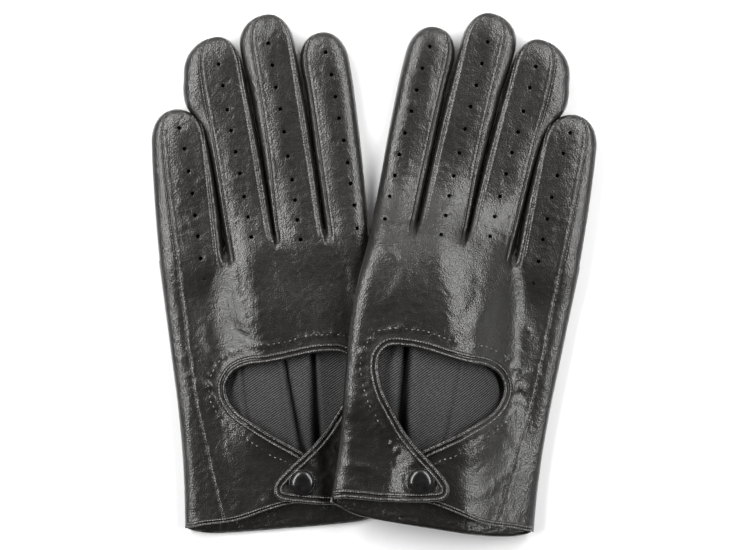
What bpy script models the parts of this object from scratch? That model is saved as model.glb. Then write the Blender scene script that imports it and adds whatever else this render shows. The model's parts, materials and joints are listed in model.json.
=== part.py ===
"""A pair of men's lined driving gloves in black leather, lying palm down.

Each glove is drawn once in its own flat frame, in millimetres: u runs across the
hand towards the little finger, v runs from the cuff to the fingertips, and z is up.
place() carries that frame to the world for the left or the right glove.  The left
glove lies on the ground; the right one rests on the left one's thumb-side edge.
Origin: the middle of the pair's bounding box, on the ground.  +Y to the fingertips.
"""

import math

import bmesh
import bpy
from mathutils import Vector

MM = 0.001
SIDES = ("left", "right")

# Where each glove lies: the world position of its frame's origin, and the lean of its
# long axis away from the middle of the pair.
ORIGIN = {"left": (-41.85, -113.2), "right": (28.55, -111.4)}
LEAN_DEG = {"left": 4.6, "right": 9.0}
TURN = {"left": -1.0, "right": 1.0}

# Materials' thicknesses and the slack between layers.
LEATHER = 1.0
LINING = 0.6
HAND_LINING_INSET = 2.0
FINGER_LINING_INSET = 1.7
SLACK = 0.3

# The hand: half thickness at the wrist and at the knuckles, and its two side folds.
WRIST_HALF = 4.0
KNUCKLE_HALF = 5.0
KNUCKLE_RISE = (105.0, 130.0)
HAND_FOOT = -0.5
THUMB_SIDE = ((0, -49.3), (40, -50.0), (90, -52.6), (110, -51.0), (122, -49.4), (147, -49.4))
LITTLE_SIDE = ((0, 45.6), (40, 44.0), (75, 45.2), (102, 46.6), (126, 47.8), (147, 48.6))
OUTSEAM = ((0, 26.5), (14, 29.0), (40, 32.6), (61, 35.4), (90, 37.3), (116, 38.4), (147, 40.0))
HAND_STATIONS = (0, 11, 22, 31, 39, 47, 58, 72, 88, 102, 112, 118, 124, 130, 136, 147)
BACK_SHARES = (0, 0.09, 0.18, 0.27, 0.38, 0.5, 0.62, 0.74, 0.87)
PALM_SHARES = (0.13, 0.26, 0.38, 0.5, 0.61, 0.72, 0.81, 0.9)

# The hand rises over the folded thumb below it, and the right glove over the left one.
THUMB_LIFT = 6.0
THUMB_LIFT_ACROSS = (2.0, 26.0)
THUMB_LIFT_START = (33.0, 55.0)
THUMB_LIFT_END = (113.0, 132.0)
REST_HEIGHT = 15.8
REST_EDGE = (8.95, -0.0802, -109.0)
REST_PLATEAU = 29.0
REST_FALL_X = 40.0
REST_FALL_Y = (-3.0, 37.0)

# Fingers: hinge centre, direction of the tip, length from the hinge, and stations of
# (distance from the hinge, half width on the thumb side, half width on the other side).
FINGER_HALF = 5.0
TIP_LENGTH = 15.0
FINGERS = {
    "index": {
        "hinge": (-39.6, 142.0), "lean": 2.8, "length": 81.5,
        "widths": ((0, 9.6, 9.5), (30, 10.6, 10.4), (60, 11.2, 11.1), (82, 11.2, 11.1)),
    },
    "middle": {
        "hinge": (-17.6, 142.0), "lean": 4.3, "length": 92.0,
        "widths": ((0, 11.0, 11.0), (30, 11.2, 11.4), (65, 11.2, 12.4), (92, 11.2, 12.4)),
    },
    "ring": {
        "hinge": (6.3, 142.0), "lean": 4.9, "length": 84.3,
        "widths": ((0, 11.3, 10.6), (30, 11.2, 10.8), (44, 11.2, 11.4), (62, 11.1, 14.8), (85, 11.1, 14.8)),
    },
    "little": {
        "hinge": (33.4, 137.0), "lean": 1.5, "length": 57.4,
        "widths": ((0, 14.2, 15.0), (20, 13.6, 14.2), (38, 13.2, 13.2), (58, 12.6, 12.6)),
    },
}
# Seams round a finger's section, in degrees from the little-finger side over the back.
BACK_SEAM = 54.0
FAR_SEAM = 153.0
PALM_SEAM_THUMB = 207.0
PALM_SEAM_LITTLE = 306.0
OUTSEAM_ANGLE = 63.0
SEAM_HALF_DEG = 0.9
SECTION_POWER = 2.4

# Knuckle gap: how far the hand ends before the hinge line at the palm and at the back.
GAP_PALM = -5.8
GAP_BACK = -1.7
KNUCKLE_CUTS = {
    "index": (-15, 10.4), "middle": (-11.4, 11.4), "ring": (-11.6, 11.6), "little": (-15.4, 20),
}
CROTCHES = {
    "index_middle": ((-29.0, 134.0), 3.5),
    "middle_ring": ((-6.3, 134.0), 4.6),
    "ring_little": ((17.9, 126.0), 2.0),
}
CROTCH_WIDTH = 0.8

# The thumb, folded flat under the palm.
THUMB_ROOT = (-41.0, 60.0)
THUMB_LEAN = 45.0
THUMB_LENGTH = 46.0
THUMB_HALF_WIDTH = 11.0
THUMB_HALF = 2.4

# Opening on the back, its slit under the strap, and the strap with its snap.
KEYHOLE = (
    (-33.6, 76.6), (-18.0, 77.4), (-4.0, 75.6), (10.1, 74.7), (17.2, 72.0), (20.6, 68.0), (21.2, 62.0),
    (17.4, 53.5), (7.6, 45.7), (-2.0, 38.2), (-9.0, 33.4), (-16.5, 28.4), (-17.8, 24.0),
)
KEYHOLE_THUMB_SIDE = (
    (-20.9, 38.8), (-28.4, 47.8), (-33.3, 54.3), (-36.5, 61.8), (-38.0, 67.5), (-37.4, 73.0),
)
SLIT = (-20.9, -17.8)
STRAP_HINGE_U = -20.5
STRAP_TOP_EDGE = ((-20.5, 38.2), (-12.4, 31.1), (-6.0, 25.9), (-1.6, 22.2), (1.2, 18.9), (1.9, 17.0))
STRAP_LOW_EDGE = ((-20.5, 8.0), (-12.4, 9.3), (-6.0, 10.2), (-1.6, 11.5), (1.2, 14.0), (1.9, 16.0))
STRAP_RISE = (-20.2, -14.2)
STRAP_CLEAR = 3.2
STRAP_THICK = 1.2
SNAP = (-10.6, 18.6)
CAP_RADIUS = 6.2
SNAP_HOLE = 1.7
BACK_HEM = (
    (-57.0, 1.0), (-46.0, 4.5), (-42.0, 6.2), (-20.5, 8.0), (-5.0, 9.3),
    (6.6, 7.2), (21.4, 3.4), (36.0, 2.6), (50.0, 1.4),
)

COLOURS = {
    "leather": ((0.018, 0.017, 0.017), 0.34, 0.0),
    "seam_leather": ((0.012, 0.011, 0.011), 0.42, 0.0),
    "binding": ((0.014, 0.013, 0.013), 0.38, 0.0),
    "lining": ((0.030, 0.030, 0.032), 0.9, 0.0),
    "enamel": ((0.008, 0.008, 0.009), 0.2, 0.1),
    "steel": ((0.30, 0.30, 0.31), 0.35, 1.0),
}


def smooth(x, low, high):
    """0 below low, 1 above high, eased between."""
    t = min(max((x - low) / (high - low), 0.0), 1.0)
    return t * t * (3.0 - 2.0 * t)


def along(table, x):
    """The value at x of a line through a table's points; extra columns give a tuple."""
    if x <= table[0][0]:
        row = table[0][1:]
    elif x >= table[-1][0]:
        row = table[-1][1:]
    else:
        for low, high in zip(table, table[1:]):
            if low[0] <= x <= high[0]:
                t = (x - low[0]) / (high[0] - low[0])
                row = [a + t * (b - a) for a, b in zip(low[1:], high[1:])]
                break
    return row[0] if len(row) == 1 else tuple(row)


def flat_place(side, u, v):
    """World x and y, in millimetres, of a point of a glove's flat frame."""
    lean = math.radians(LEAN_DEG[side])
    across = u * math.cos(lean) + v * math.sin(lean)
    forward = -u * math.sin(lean) + v * math.cos(lean)
    x0, y0 = ORIGIN[side]
    return x0 + TURN[side] * across, y0 + forward


def rest_height(x, y):
    """How far the right glove is held off the ground by the left one below it."""
    edge = REST_EDGE[0] + REST_EDGE[1] * (y - REST_EDGE[2])
    start = edge + REST_PLATEAU
    across = 1.0 - smooth(x, start, start + REST_FALL_X)
    return REST_HEIGHT * across * (1.0 - smooth(y, *REST_FALL_Y))


def thumb_lift(u, v):
    """How far the hand is raised by the thumb folded under it."""
    across = 1.0 - smooth(u, *THUMB_LIFT_ACROSS)
    return THUMB_LIFT * across * smooth(v, *THUMB_LIFT_START) * (1.0 - smooth(v, *THUMB_LIFT_END))


def place(side, u, v, z, lifted=True):
    """World position in millimetres; lifted points also ride over the folded thumb."""
    x, y = flat_place(side, u, v)
    if lifted:
        z += thumb_lift(u, v)
    if side == "right":
        z += rest_height(x, y)
    return Vector((x, y, z))


def material(name):
    found = bpy.data.materials.get(name)
    if found:
        return found
    made = bpy.data.materials.new(name)
    made.use_nodes = True
    shader = made.node_tree.nodes["Principled BSDF"]
    colour, rough, metal = COLOURS[name]
    shader.inputs["Base Color"].default_value = (*colour, 1.0)
    shader.inputs["Roughness"].default_value = rough
    shader.inputs["Metallic"].default_value = metal
    return made


def solid(name, points, faces, colour, origin=None):
    """One closed mesh object from world points in millimetres, normals facing out."""
    base = Vector(origin) if origin is not None else Vector((0, 0, 0))
    mesh = bpy.data.meshes.new(name)
    mesh.from_pydata([tuple((p - base) * MM) for p in points], [], faces)
    box = bmesh.new()
    box.from_mesh(mesh)
    bmesh.ops.triangulate(box, faces=box.faces)
    bmesh.ops.recalc_face_normals(box, faces=box.faces)
    box.to_mesh(mesh)
    box.free()
    for face in mesh.polygons:
        face.use_smooth = True
    mesh.set_sharp_from_angle(angle=math.radians(40))
    mesh.materials.append(material(colour))
    made = bpy.data.objects.new(name, mesh)
    made.location = base * MM
    bpy.context.scene.collection.objects.link(made)
    return made


def sheet(outer, inner, ring=False):
    """Points and faces of a shell between two matching grids of rows of points.

    A ring's rows close on themselves, so that it has only its two end rims."""
    rows, columns = len(outer), len(outer[0])
    points = [p for row in outer for p in row] + [p for row in inner for p in row]
    shift = rows * columns
    last = columns if ring else columns - 1
    faces = []
    for i in range(rows - 1):
        for j in range(last):
            k = (j + 1) % columns
            a, b, c, d = i * columns + j, i * columns + k, (i + 1) * columns + k, (i + 1) * columns + j
            faces += [(a, b, c), (a, c, d)]
            faces += [(a + shift, c + shift, b + shift), (a + shift, d + shift, c + shift)]
    rim = [(0, j, 0, (j + 1) % columns) for j in range(last)]
    rim += [(rows - 1, (j + 1) % columns, rows - 1, j) for j in range(last)]
    if not ring:
        rim += [(i, 0, i + 1, 0) for i in range(rows - 1)]
        rim += [(i + 1, columns - 1, i, columns - 1) for i in range(rows - 1)]
    for i0, j0, i1, j1 in rim:
        a, b = i0 * columns + j0, i1 * columns + j1
        faces += [(a, a + shift, b + shift), (a, b + shift, b)]
    return points, faces


def prism(name, outline, low, high):
    """A cutter with a vertical side: outline is a loop of world x, y in millimetres."""
    count = len(outline)
    points = [Vector((x, y, low)) for x, y in outline] + [Vector((x, y, high)) for x, y in outline]
    faces = [tuple(range(count)), tuple(range(count, 2 * count))]
    faces += [(i, (i + 1) % count, (i + 1) % count + count, i + count) for i in range(count)]
    return solid(name, points, faces, "steel")


def cut(target, cutters):
    """Takes each cutter out of the target, then removes the cutters."""
    for cutter in cutters:
        step = target.modifiers.new("cut", "BOOLEAN")
        step.operation = "DIFFERENCE"
        step.solver = "EXACT"
        step.object = cutter
    bpy.context.view_layer.update()
    graph = bpy.context.evaluated_depsgraph_get()
    mesh = bpy.data.meshes.new_from_object(target.evaluated_get(graph))
    target.modifiers.clear()
    target.data = mesh
    box = bmesh.new()
    box.from_mesh(mesh)
    bmesh.ops.remove_doubles(box, verts=box.verts, dist=1e-6)
    bmesh.ops.triangulate(box, faces=box.faces)
    box.to_mesh(mesh)
    box.free()
    for cutter in cutters:
        bpy.data.objects.remove(cutter)


def hand_half(v):
    return WRIST_HALF + (KNUCKLE_HALF - WRIST_HALF) * smooth(v, *KNUCKLE_RISE)


def hand_loop(v, inset, slit):
    """(u, z) round the hand at v, from the outseam over the back, the thumb-side fold,
    the palm and the little-finger side, back to the outseam."""
    half = hand_half(v)
    left, right, seam = along(THUMB_SIDE, v), along(LITTLE_SIDE, v), along(OUTSEAM, v)
    reach = half - inset
    low_u, high_u = left + half, right - half
    gap = 0.2 if slit else 0.0
    loop = [(seam - gap + t * (low_u - seam + gap), half + reach) for t in BACK_SHARES]
    for step in range(5):
        angle = math.radians(90 + 45 * step)
        loop.append((low_u + reach * math.cos(angle), half + reach * math.sin(angle)))
    loop += [(low_u + t * (high_u - low_u), half - reach) for t in PALM_SHARES]
    for step in range(5):
        angle = math.radians(-90 + 45 * step)
        loop.append((high_u + reach * math.cos(angle), half + reach * math.sin(angle)))
    if slit:
        loop.append((seam + gap, half + reach))
    return loop


def back_only(side, name, outline):
    """A cutter that reaches the back of the hand but not the palm."""
    box = prism(name, [flat_place(side, u, v) for u, v in outline], 0.0, 1.0)
    for point in box.data.vertices:
        index = point.index % len(outline)
        u, v = outline[index]
        level = WRIST_HALF if point.index < len(outline) else 40.0
        point.co = place(side, u, v, level) * MM
    return box


def refined(outline, longest=8.0):
    """The closed outline with extra points, so that no side is longer than that."""
    return finer(outline + outline[:1], longest)[:-1]


def thumb_hole(side, name, low, high):
    """The oval in the palm that the thumb opens from."""
    turn = math.radians(THUMB_LEAN)
    outline = []
    for step in range(14):
        angle = 2 * math.pi * step / 14
        across, forward = 8.0 * math.cos(angle), 6.0 * math.sin(angle) + 7.0
        u = THUMB_ROOT[0] + across * math.cos(turn) + forward * math.sin(turn)
        v = THUMB_ROOT[1] - across * math.sin(turn) + forward * math.cos(turn)
        outline.append((u, v))
    box = prism(name, [flat_place(side, u, v) for u, v in outline], 0.0, 1.0)
    for point in box.data.vertices:
        u, v = outline[point.index % len(outline)]
        point.co = place(side, u, v, low if point.index < len(outline) else high) * MM
    return box


def finger_point(finger, s, across, z):
    """A glove-frame point from a finger's own length, width and height."""
    turn = math.radians(finger["lean"])
    u = finger["hinge"][0] + s * math.sin(turn) + across * math.cos(turn)
    v = finger["hinge"][1] + s * math.cos(turn) - across * math.sin(turn)
    return u, v, z


def knuckle_cutter(side, name, finger, low_side, high_side):
    """Takes off the hand beyond a finger's hinge, on a slope that lets it bend."""
    profile = [(GAP_PALM, -4.0), (GAP_PALM, FINGER_HALF + 1.0), (GAP_BACK, 2 * FINGER_HALF)]
    profile += [(GAP_BACK, 24.0), (40.0, 24.0), (40.0, -4.0)]
    points = []
    for across in (low_side, high_side):
        for s, z in profile:
            u, v, height = finger_point(finger, s, across, z)
            points.append(Vector((*flat_place(side, u, v), height)))
    count = len(profile)
    faces = [tuple(range(count)), tuple(range(count, 2 * count))]
    faces += [(i, (i + 1) % count, (i + 1) % count + count, i + count) for i in range(count)]
    return solid(name, points, faces, "steel")


def crotch_cutter(side, name, foot, lean):
    """The slot between two neighbouring fingers' roots."""
    turn = math.radians(lean)
    outline = []
    for s, across in ((0, -1), (0, 1), (34, 1), (34, -1)):
        u = foot[0] + s * math.sin(turn) + across * CROTCH_WIDTH / 2 * math.cos(turn)
        v = foot[1] + s * math.cos(turn) - across * CROTCH_WIDTH / 2 * math.sin(turn)
        outline.append(flat_place(side, u, v))
    return prism(name, outline, -3.0, 30.0)


def opening(foot):
    """The outline of the opening on the back, with its slit run down to v = foot."""
    slit = [(SLIT[1], foot), (SLIT[0], foot)]
    return refined(list(KEYHOLE) + slit + list(KEYHOLE_THUMB_SIDE))


def snap_hole(side):
    """The round hole that a snap's shank goes through."""
    outline = []
    for step in range(10):
        angle = 2 * math.pi * step / 10
        u = SNAP[0] + SNAP_HOLE * math.cos(angle)
        v = SNAP[1] + SNAP_HOLE * math.sin(angle)
        outline.append(flat_place(side, u, v))
    return outline


def make_trank(side):
    """Back and palm in one piece, folded at the thumb side and sewn at the outseam."""
    stations = (HAND_FOOT,) + HAND_STATIONS[1:]
    outer, inner = [], []
    for v in stations:
        outer.append([place(side, u, v, z) for u, z in hand_loop(v, 0.0, True)])
        inner.append([place(side, u, v, z) for u, z in hand_loop(v, LEATHER, True)])
    made = solid(f"{side}_trank", *sheet(outer, inner), "leather")
    cutters = [
        back_only(side, "cut_keyhole", opening(-8.0)),
        back_only(side, "cut_hem", refined(list(BACK_HEM) + [(50.0, -9.0), (-57.0, -9.0)])),
        thumb_hole(side, "cut_thumb", -3.0, 2.4),
    ]
    for name, finger in FINGERS.items():
        cutters.append(knuckle_cutter(side, f"cut_{name}", finger, *KNUCKLE_CUTS[name]))
    for name, (foot, lean) in CROTCHES.items():
        cutters.append(crotch_cutter(side, f"cut_{name}", foot, lean))
    top = place(side, *SNAP, 0.0).z
    cutters.append(prism("cut_stud", snap_hole(side), top + WRIST_HALF, top + 20.0))
    cut(made, cutters)


def make_hand_lining(side):
    stations = [v for v in HAND_STATIONS if 11 <= v <= 124]
    skins = []
    for inset in (HAND_LINING_INSET, HAND_LINING_INSET + LINING):
        skins.append([[place(side, u, v, z) for u, z in hand_loop(v, inset, False)] for v in stations])
    made = solid(f"{side}_hand_lining", *sheet(*skins, ring=True), "lining")
    cutters = [back_only(side, "cut_keyhole", opening(2.0)), thumb_hole(side, "cut_thumb", -3.0, 3.4)]
    cut(made, cutters)


def tip_scale(s, length):
    """Rounds a finger off: 1 along its length, falling to 0 at the tip."""
    start = length - TIP_LENGTH
    t = min(max((s - start) / TIP_LENGTH, 0.0), 0.997)
    return (1.0 - t ** 2.2) ** (1 / 2.2)


def section(finger, s, length, inset, angle):
    """A point of a finger's section: angle in degrees from the little-finger side."""
    low, high = along(finger["widths"], s)
    scale = tip_scale(s, length)
    c, d = math.cos(math.radians(angle)), math.sin(math.radians(angle))
    half_width = (high if c > 0 else low) - inset
    power = 2.0 / SECTION_POWER
    across = half_width * scale * math.copysign(abs(c) ** power, c)
    height = (FINGER_HALF - inset) * scale ** 0.7 * math.copysign(abs(d) ** power, d)
    return across, FINGER_HALF + height


def finger_rows(side, finger, inset, start, angles, steps):
    length = finger["length"] - inset
    rows = []
    for s in steps:
        reach = start + (s / steps[-1]) * (length * 0.9998 - start)
        row = []
        for angle in angles:
            across, z = section(finger, reach, length, inset, angle)
            row.append(place(side, *finger_point(finger, reach, across, z), lifted=False))
        rows.append(row)
    return rows


def spread(low, high, count):
    return [low + (high - low) * k / count for k in range(count + 1)]


def finger_piece(side, name, finger, low, high, count):
    """A leather strip of a finger between two of its seams."""
    angles = spread(low + SEAM_HALF_DEG, high - SEAM_HALF_DEG, count)
    body = finger["length"] - TIP_LENGTH
    steps = [body * share for share in (0.0, 0.36, 0.72, 1.0)]
    steps += [body + 6.0, body + 10.5, body + 13.4, finger["length"] - 0.05]
    outer = finger_rows(side, finger, 0.0, 0.6, angles, steps)
    inner = finger_rows(side, finger, LEATHER, 0.6, angles, steps)
    origin = place(side, *finger_point(finger, 0.0, 0.0, FINGER_HALF), lifted=False)
    colour = "seam_leather" if "fourchette" in name else "leather"
    solid(f"{side}_{name}", *sheet(outer, inner), colour, origin)


def finger_lining(side, name, finger):
    angles = spread(0.0, 360.0, 12)[:-1]
    body = finger["length"] - TIP_LENGTH
    steps = [0.0, body * 0.5, body, body + 8, finger["length"] - 2.5]
    outer = finger_rows(side, finger, FINGER_LINING_INSET, 0.9, angles, steps)
    inner = finger_rows(side, finger, FINGER_LINING_INSET + 0.5, 0.9, angles, steps)
    origin = place(side, *finger_point(finger, 0.0, 0.0, FINGER_HALF), lifted=False)
    solid(f"{side}_{name}_lining", *sheet(outer, inner, ring=True), "lining", origin)


def make_fingers(side):
    index, middle, ring, little = (FINGERS[n] for n in ("index", "middle", "ring", "little"))
    turn = 360.0
    finger_piece(side, "index_leather", index, BACK_SEAM, PALM_SEAM_LITTLE, 12)
    finger_piece(side, "index_fourchette", index, PALM_SEAM_LITTLE - turn, BACK_SEAM, 4)
    for name, finger in (("middle", middle), ("ring", ring)):
        before, after = ("index", "ring") if name == "middle" else ("middle", "little")
        finger_piece(side, f"{name}_back", finger, BACK_SEAM, FAR_SEAM, 5)
        finger_piece(side, f"{name}_palm", finger, PALM_SEAM_THUMB, PALM_SEAM_LITTLE, 5)
        finger_piece(side, f"{name}_fourchette_{before}", finger, FAR_SEAM, PALM_SEAM_THUMB, 2)
        finger_piece(side, f"{name}_fourchette_{after}", finger, PALM_SEAM_LITTLE - turn, BACK_SEAM, 4)
    finger_piece(side, "little_back", little, OUTSEAM_ANGLE, FAR_SEAM, 5)
    finger_piece(side, "little_palm", little, PALM_SEAM_THUMB - turn, OUTSEAM_ANGLE, 10)
    finger_piece(side, "little_fourchette", little, FAR_SEAM, PALM_SEAM_THUMB, 2)
    for name, finger in FINGERS.items():
        finger_lining(side, name, finger)


def thumb_rows(side, inset, half, steps, count):
    turn = math.radians(THUMB_LEAN)
    length = THUMB_LENGTH - inset
    rows = []
    for s in steps:
        t = min(max((s - (THUMB_LENGTH - 14.0)) / 14.0, 0.0), 0.997)
        scale = (1.0 - t ** 2.2) ** (1 / 2.2)
        reach = s * length / THUMB_LENGTH
        row = []
        for k in range(count):
            angle = 2 * math.pi * k / count
            c, d = math.cos(angle), math.sin(angle)
            across = (THUMB_HALF_WIDTH - inset) * scale * math.copysign(abs(c) ** 0.8, c)
            z = SLACK + THUMB_HALF + half * scale ** 0.6 * math.copysign(abs(d) ** 0.6, d)
            u = THUMB_ROOT[0] + reach * math.sin(turn) + across * math.cos(turn)
            v = THUMB_ROOT[1] + reach * math.cos(turn) - across * math.sin(turn)
            row.append(place(side, u, v, z, lifted=False))
        rows.append(row)
    return rows


def make_thumb(side):
    steps = [THUMB_LENGTH * share for share in (0.0, 0.36, 0.7, 0.83, 0.92, 0.984, 0.999)]
    origin = place(side, *THUMB_ROOT, SLACK + THUMB_HALF, lifted=False)
    outer = thumb_rows(side, 0.0, THUMB_HALF, steps, 14)
    inner = thumb_rows(side, 0.9, THUMB_HALF - 0.9, steps, 14)
    solid(f"{side}_thumb_leather", *sheet(outer, inner, ring=True), "leather", origin)
    steps = [THUMB_LENGTH * share for share in (0.006, 0.36, 0.7, 0.83, 0.92, 0.98)]
    outer = thumb_rows(side, 1.3, THUMB_HALF - 1.2, steps, 12)
    inner = thumb_rows(side, 1.8, THUMB_HALF - 1.65, steps, 12)
    solid(f"{side}_thumb_lining", *sheet(outer, inner, ring=True), "lining", origin)


def ribbon(side, name, path, width, low, thick, colour, origin=None, level=None):
    """A flat strip along a path of (u, v), lying on its left-hand side as one walks it."""
    above = level or (lambda u, v: 2 * hand_half(v))
    rows = []
    for i, (u, v) in enumerate(path):
        before, after = path[max(i - 1, 0)], path[min(i + 1, len(path) - 1)]
        du, dv = after[0] - before[0], after[1] - before[1]
        size = math.hypot(du, dv)
        nu, nv = -dv / size * width, du / size * width
        far = (u + nu, v + nv)
        base, other = above(u, v) + low, above(*far) + low
        rows.append([place(side, u, v, base), place(side, u, v, base + thick),
                     place(side, *far, other + thick), place(side, *far, other)])
    count = len(rows)
    points = [p for row in rows for p in row]
    faces = [(0, 1, 2, 3), tuple(4 * (count - 1) + k for k in (3, 2, 1, 0))]
    for i in range(count - 1):
        for k in range(4):
            a, b = 4 * i + k, 4 * i + (k + 1) % 4
            faces.append((a, b, b + 4, a + 4))
    solid(name, points, faces, colour, origin)


def finer(path, longest):
    """The open path with extra points, so that no side is longer than the given length."""
    fine = []
    for (u0, v0), (u1, v1) in zip(path, path[1:]):
        count = max(1, math.ceil(math.hypot(u1 - u0, v1 - v0) / longest))
        fine += [(u0 + (u1 - u0) * k / count, v0 + (v1 - v0) * k / count) for k in range(count)]
    return fine + [path[-1]]


def strap_level(u, v):
    """The height of the strap's lower face above the flat ground of the frame."""
    return 2 * WRIST_HALF + 0.35 + (STRAP_CLEAR - 0.35) * smooth(u, *STRAP_RISE)


def strap_axis(side):
    """Two points of the line the strap folds on, at mid thickness."""
    height = strap_level(STRAP_HINGE_U, 0.0) + STRAP_THICK / 2
    edges = (STRAP_LOW_EDGE[0][1], STRAP_TOP_EDGE[0][1])
    return [place(side, STRAP_HINGE_U, v, height) for v in edges]


def round_part(side, name, profile, colour, origin):
    """A turned part about the snap's centre line: profile is (radius, height) pairs."""
    u, v = SNAP
    centre = place(side, u, v, 0.0)
    slope_u = (place(side, u + 2, v, 0.0) - place(side, u - 2, v, 0.0)).normalized()
    slope_v = (place(side, u, v + 2, 0.0) - place(side, u, v - 2, 0.0)).normalized()
    normal = slope_u.cross(slope_v).normalized()
    if normal.z < 0:
        normal = -normal
    slope_v = normal.cross(slope_u).normalized()
    count = 14
    points, faces, rings = [], [], []
    for radius, height in profile:
        base = centre + normal * (height * normal.z)
        if radius == 0:
            rings.append([len(points)])
            points.append(base)
            continue
        rings.append(list(range(len(points), len(points) + count)))
        for k in range(count):
            angle = 2 * math.pi * k / count
            points.append(base + radius * (slope_u * math.cos(angle) + slope_v * math.sin(angle)))
    for low, high in zip(rings, rings[1:] + ([] if len(rings[0]) == 1 else rings[:1])):
        for k in range(count):
            m = (k + 1) % count
            if len(low) == 1:
                faces.append((low[0], high[k], high[m]))
            elif len(high) == 1:
                faces.append((low[k], high[0], low[m]))
            else:
                faces.append((low[k], high[k], high[m], low[m]))
    solid(name, points, faces, colour, origin)


def make_strap(side):
    ends = strap_axis(side)
    hinge = (ends[0] + ends[1]) / 2
    stations = (-20.5, -18.6, -16.8, -15, -13, -10.6, -8, -5.5, -3, -1, 0.6, 1.5, 1.9)
    under, over = [], []
    for u in stations:
        low, high = along(STRAP_LOW_EDGE, u), along(STRAP_TOP_EDGE, u)
        row = [low + (high - low) * t for t in (0.0, 0.2, 0.4, 0.6, 0.8, 1.0)]
        under.append([place(side, u, v, strap_level(u, v)) for v in row])
        over.append([place(side, u, v, strap_level(u, v) + STRAP_THICK) for v in row])
    tab = solid(f"{side}_strap_tab", *sheet(over, under), "leather", hinge)
    cut(tab, [prism("cut_cap", snap_hole(side), -5.0, 60.0)])
    path = finer(STRAP_TOP_EDGE[:-1], 3.0) + [(1.75, 16.4)] + finer(STRAP_LOW_EDGE[-2::-1], 3.0)
    path = [(max(u, -20.2), v) for u, v in path][::-1]
    ribbon(side, f"{side}_strap_binding", path, 1.9, STRAP_THICK + 0.3, 0.8, "binding", hinge, strap_level)
    top = 2 * WRIST_HALF
    clear = top + STRAP_CLEAR
    cap = (
        (0, clear - 0.1), (1.3, clear - 0.1), (1.3, clear + 1.5), (CAP_RADIUS, clear + 1.5),
        (CAP_RADIUS, clear + 2.3), (5.4, clear + 3.0), (3.4, clear + 3.6), (0, clear + 3.9),
    )
    round_part(side, f"{side}_snap_cap", cap, "enamel", hinge)
    socket = (
        (2.0, top + 1.2), (2.0, top + 2.9), (4.4, top + 2.9), (4.4, top + 1.5), (4.0, top + 1.2),
    )
    round_part(side, f"{side}_snap_socket", socket, "steel", hinge)
    stud = (
        (0, top + 0.25), (4.2, top + 0.25), (4.2, top + 0.8), (1.4, top + 0.9),
        (1.4, top + 1.6), (1.65, top + 2.0), (1.2, top + 2.5), (0, top + 2.5),
    )
    round_part(side, f"{side}_snap_stud", stud, "steel", None)
    post = (
        (0, top - 1.8), (3.6, top - 1.8), (3.6, top - 1.3),
        (1.3, top - 1.2), (1.3, top - 0.05), (0, top - 0.05),
    )
    round_part(side, f"{side}_snap_post", post, "steel", None)


def make_edges(side):
    path = [(STRAP_HINGE_U - 0.6, 39.2)] + list(KEYHOLE_THUMB_SIDE[1:] + KEYHOLE[:-2])
    ribbon(side, f"{side}_keyhole_binding", finer(path, 5.0), 3.4, 0.75, 0.9, "binding")
    hem = [(-12.5, 9.0)] + list(BACK_HEM[4:8]) + [(41.0, 2.2)]
    ribbon(side, f"{side}_back_hem", finer(hem, 8.0), 2.0, SLACK, 0.8, "binding")
    outer, inner = [], []
    for v in (-2.9, HAND_FOOT - SLACK):
        loop = hand_loop(0.0, 0.1, False)
        thin = hand_loop(0.0, 1.5, False)
        keep = range(11, 25)
        outer.append([place(side, loop[k][0], v, loop[k][1]) for k in keep])
        inner.append([place(side, thin[k][0], v, thin[k][1]) for k in keep])
    solid(f"{side}_palm_hem", *sheet(outer, inner), "binding")


for old in list(bpy.data.objects):
    bpy.data.objects.remove(old, do_unlink=True)
for glove in SIDES:
    make_trank(glove)
    make_hand_lining(glove)
    make_fingers(glove)
    make_thumb(glove)
    make_strap(glove)
    make_edges(glove)
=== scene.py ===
"""Looks for the pair of leather driving gloves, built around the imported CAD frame.

Each glove is drawn in its own flat frame in millimetres: u across the hand towards the
little finger, v from the cuff to the fingertips, z up.  Glove.place() carries that to
the world.  The leather is two height fields, over and under, that meet at the outline.
"""

import json
import math

import bmesh
import bpy
import numpy as np
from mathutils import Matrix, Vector, geometry, noise


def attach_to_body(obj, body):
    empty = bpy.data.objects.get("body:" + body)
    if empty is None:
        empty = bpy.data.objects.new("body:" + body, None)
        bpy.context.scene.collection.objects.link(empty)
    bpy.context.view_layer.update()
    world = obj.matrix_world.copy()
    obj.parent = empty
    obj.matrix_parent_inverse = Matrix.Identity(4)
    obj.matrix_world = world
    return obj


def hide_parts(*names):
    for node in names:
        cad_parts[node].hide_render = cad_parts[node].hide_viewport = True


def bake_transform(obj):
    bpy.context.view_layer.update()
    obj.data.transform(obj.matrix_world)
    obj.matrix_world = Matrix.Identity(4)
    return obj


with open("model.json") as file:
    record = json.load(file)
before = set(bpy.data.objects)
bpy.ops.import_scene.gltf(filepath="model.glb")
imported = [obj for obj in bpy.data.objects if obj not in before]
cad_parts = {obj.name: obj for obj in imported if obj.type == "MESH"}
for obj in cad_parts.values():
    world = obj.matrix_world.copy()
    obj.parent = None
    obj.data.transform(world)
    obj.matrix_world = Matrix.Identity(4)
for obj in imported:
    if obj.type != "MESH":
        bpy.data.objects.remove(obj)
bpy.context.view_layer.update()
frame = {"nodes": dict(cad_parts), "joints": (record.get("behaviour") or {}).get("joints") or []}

MM = 0.001
SIDES = ("left", "right")
JOINTS = {joint["name"]: joint for joint in frame["joints"]}

# Two points of each glove's flat frame whose world places the joints give.
INDEX_HINGE = (-39.6, 142.0)
LITTLE_HINGE = (33.4, 137.0)

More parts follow.
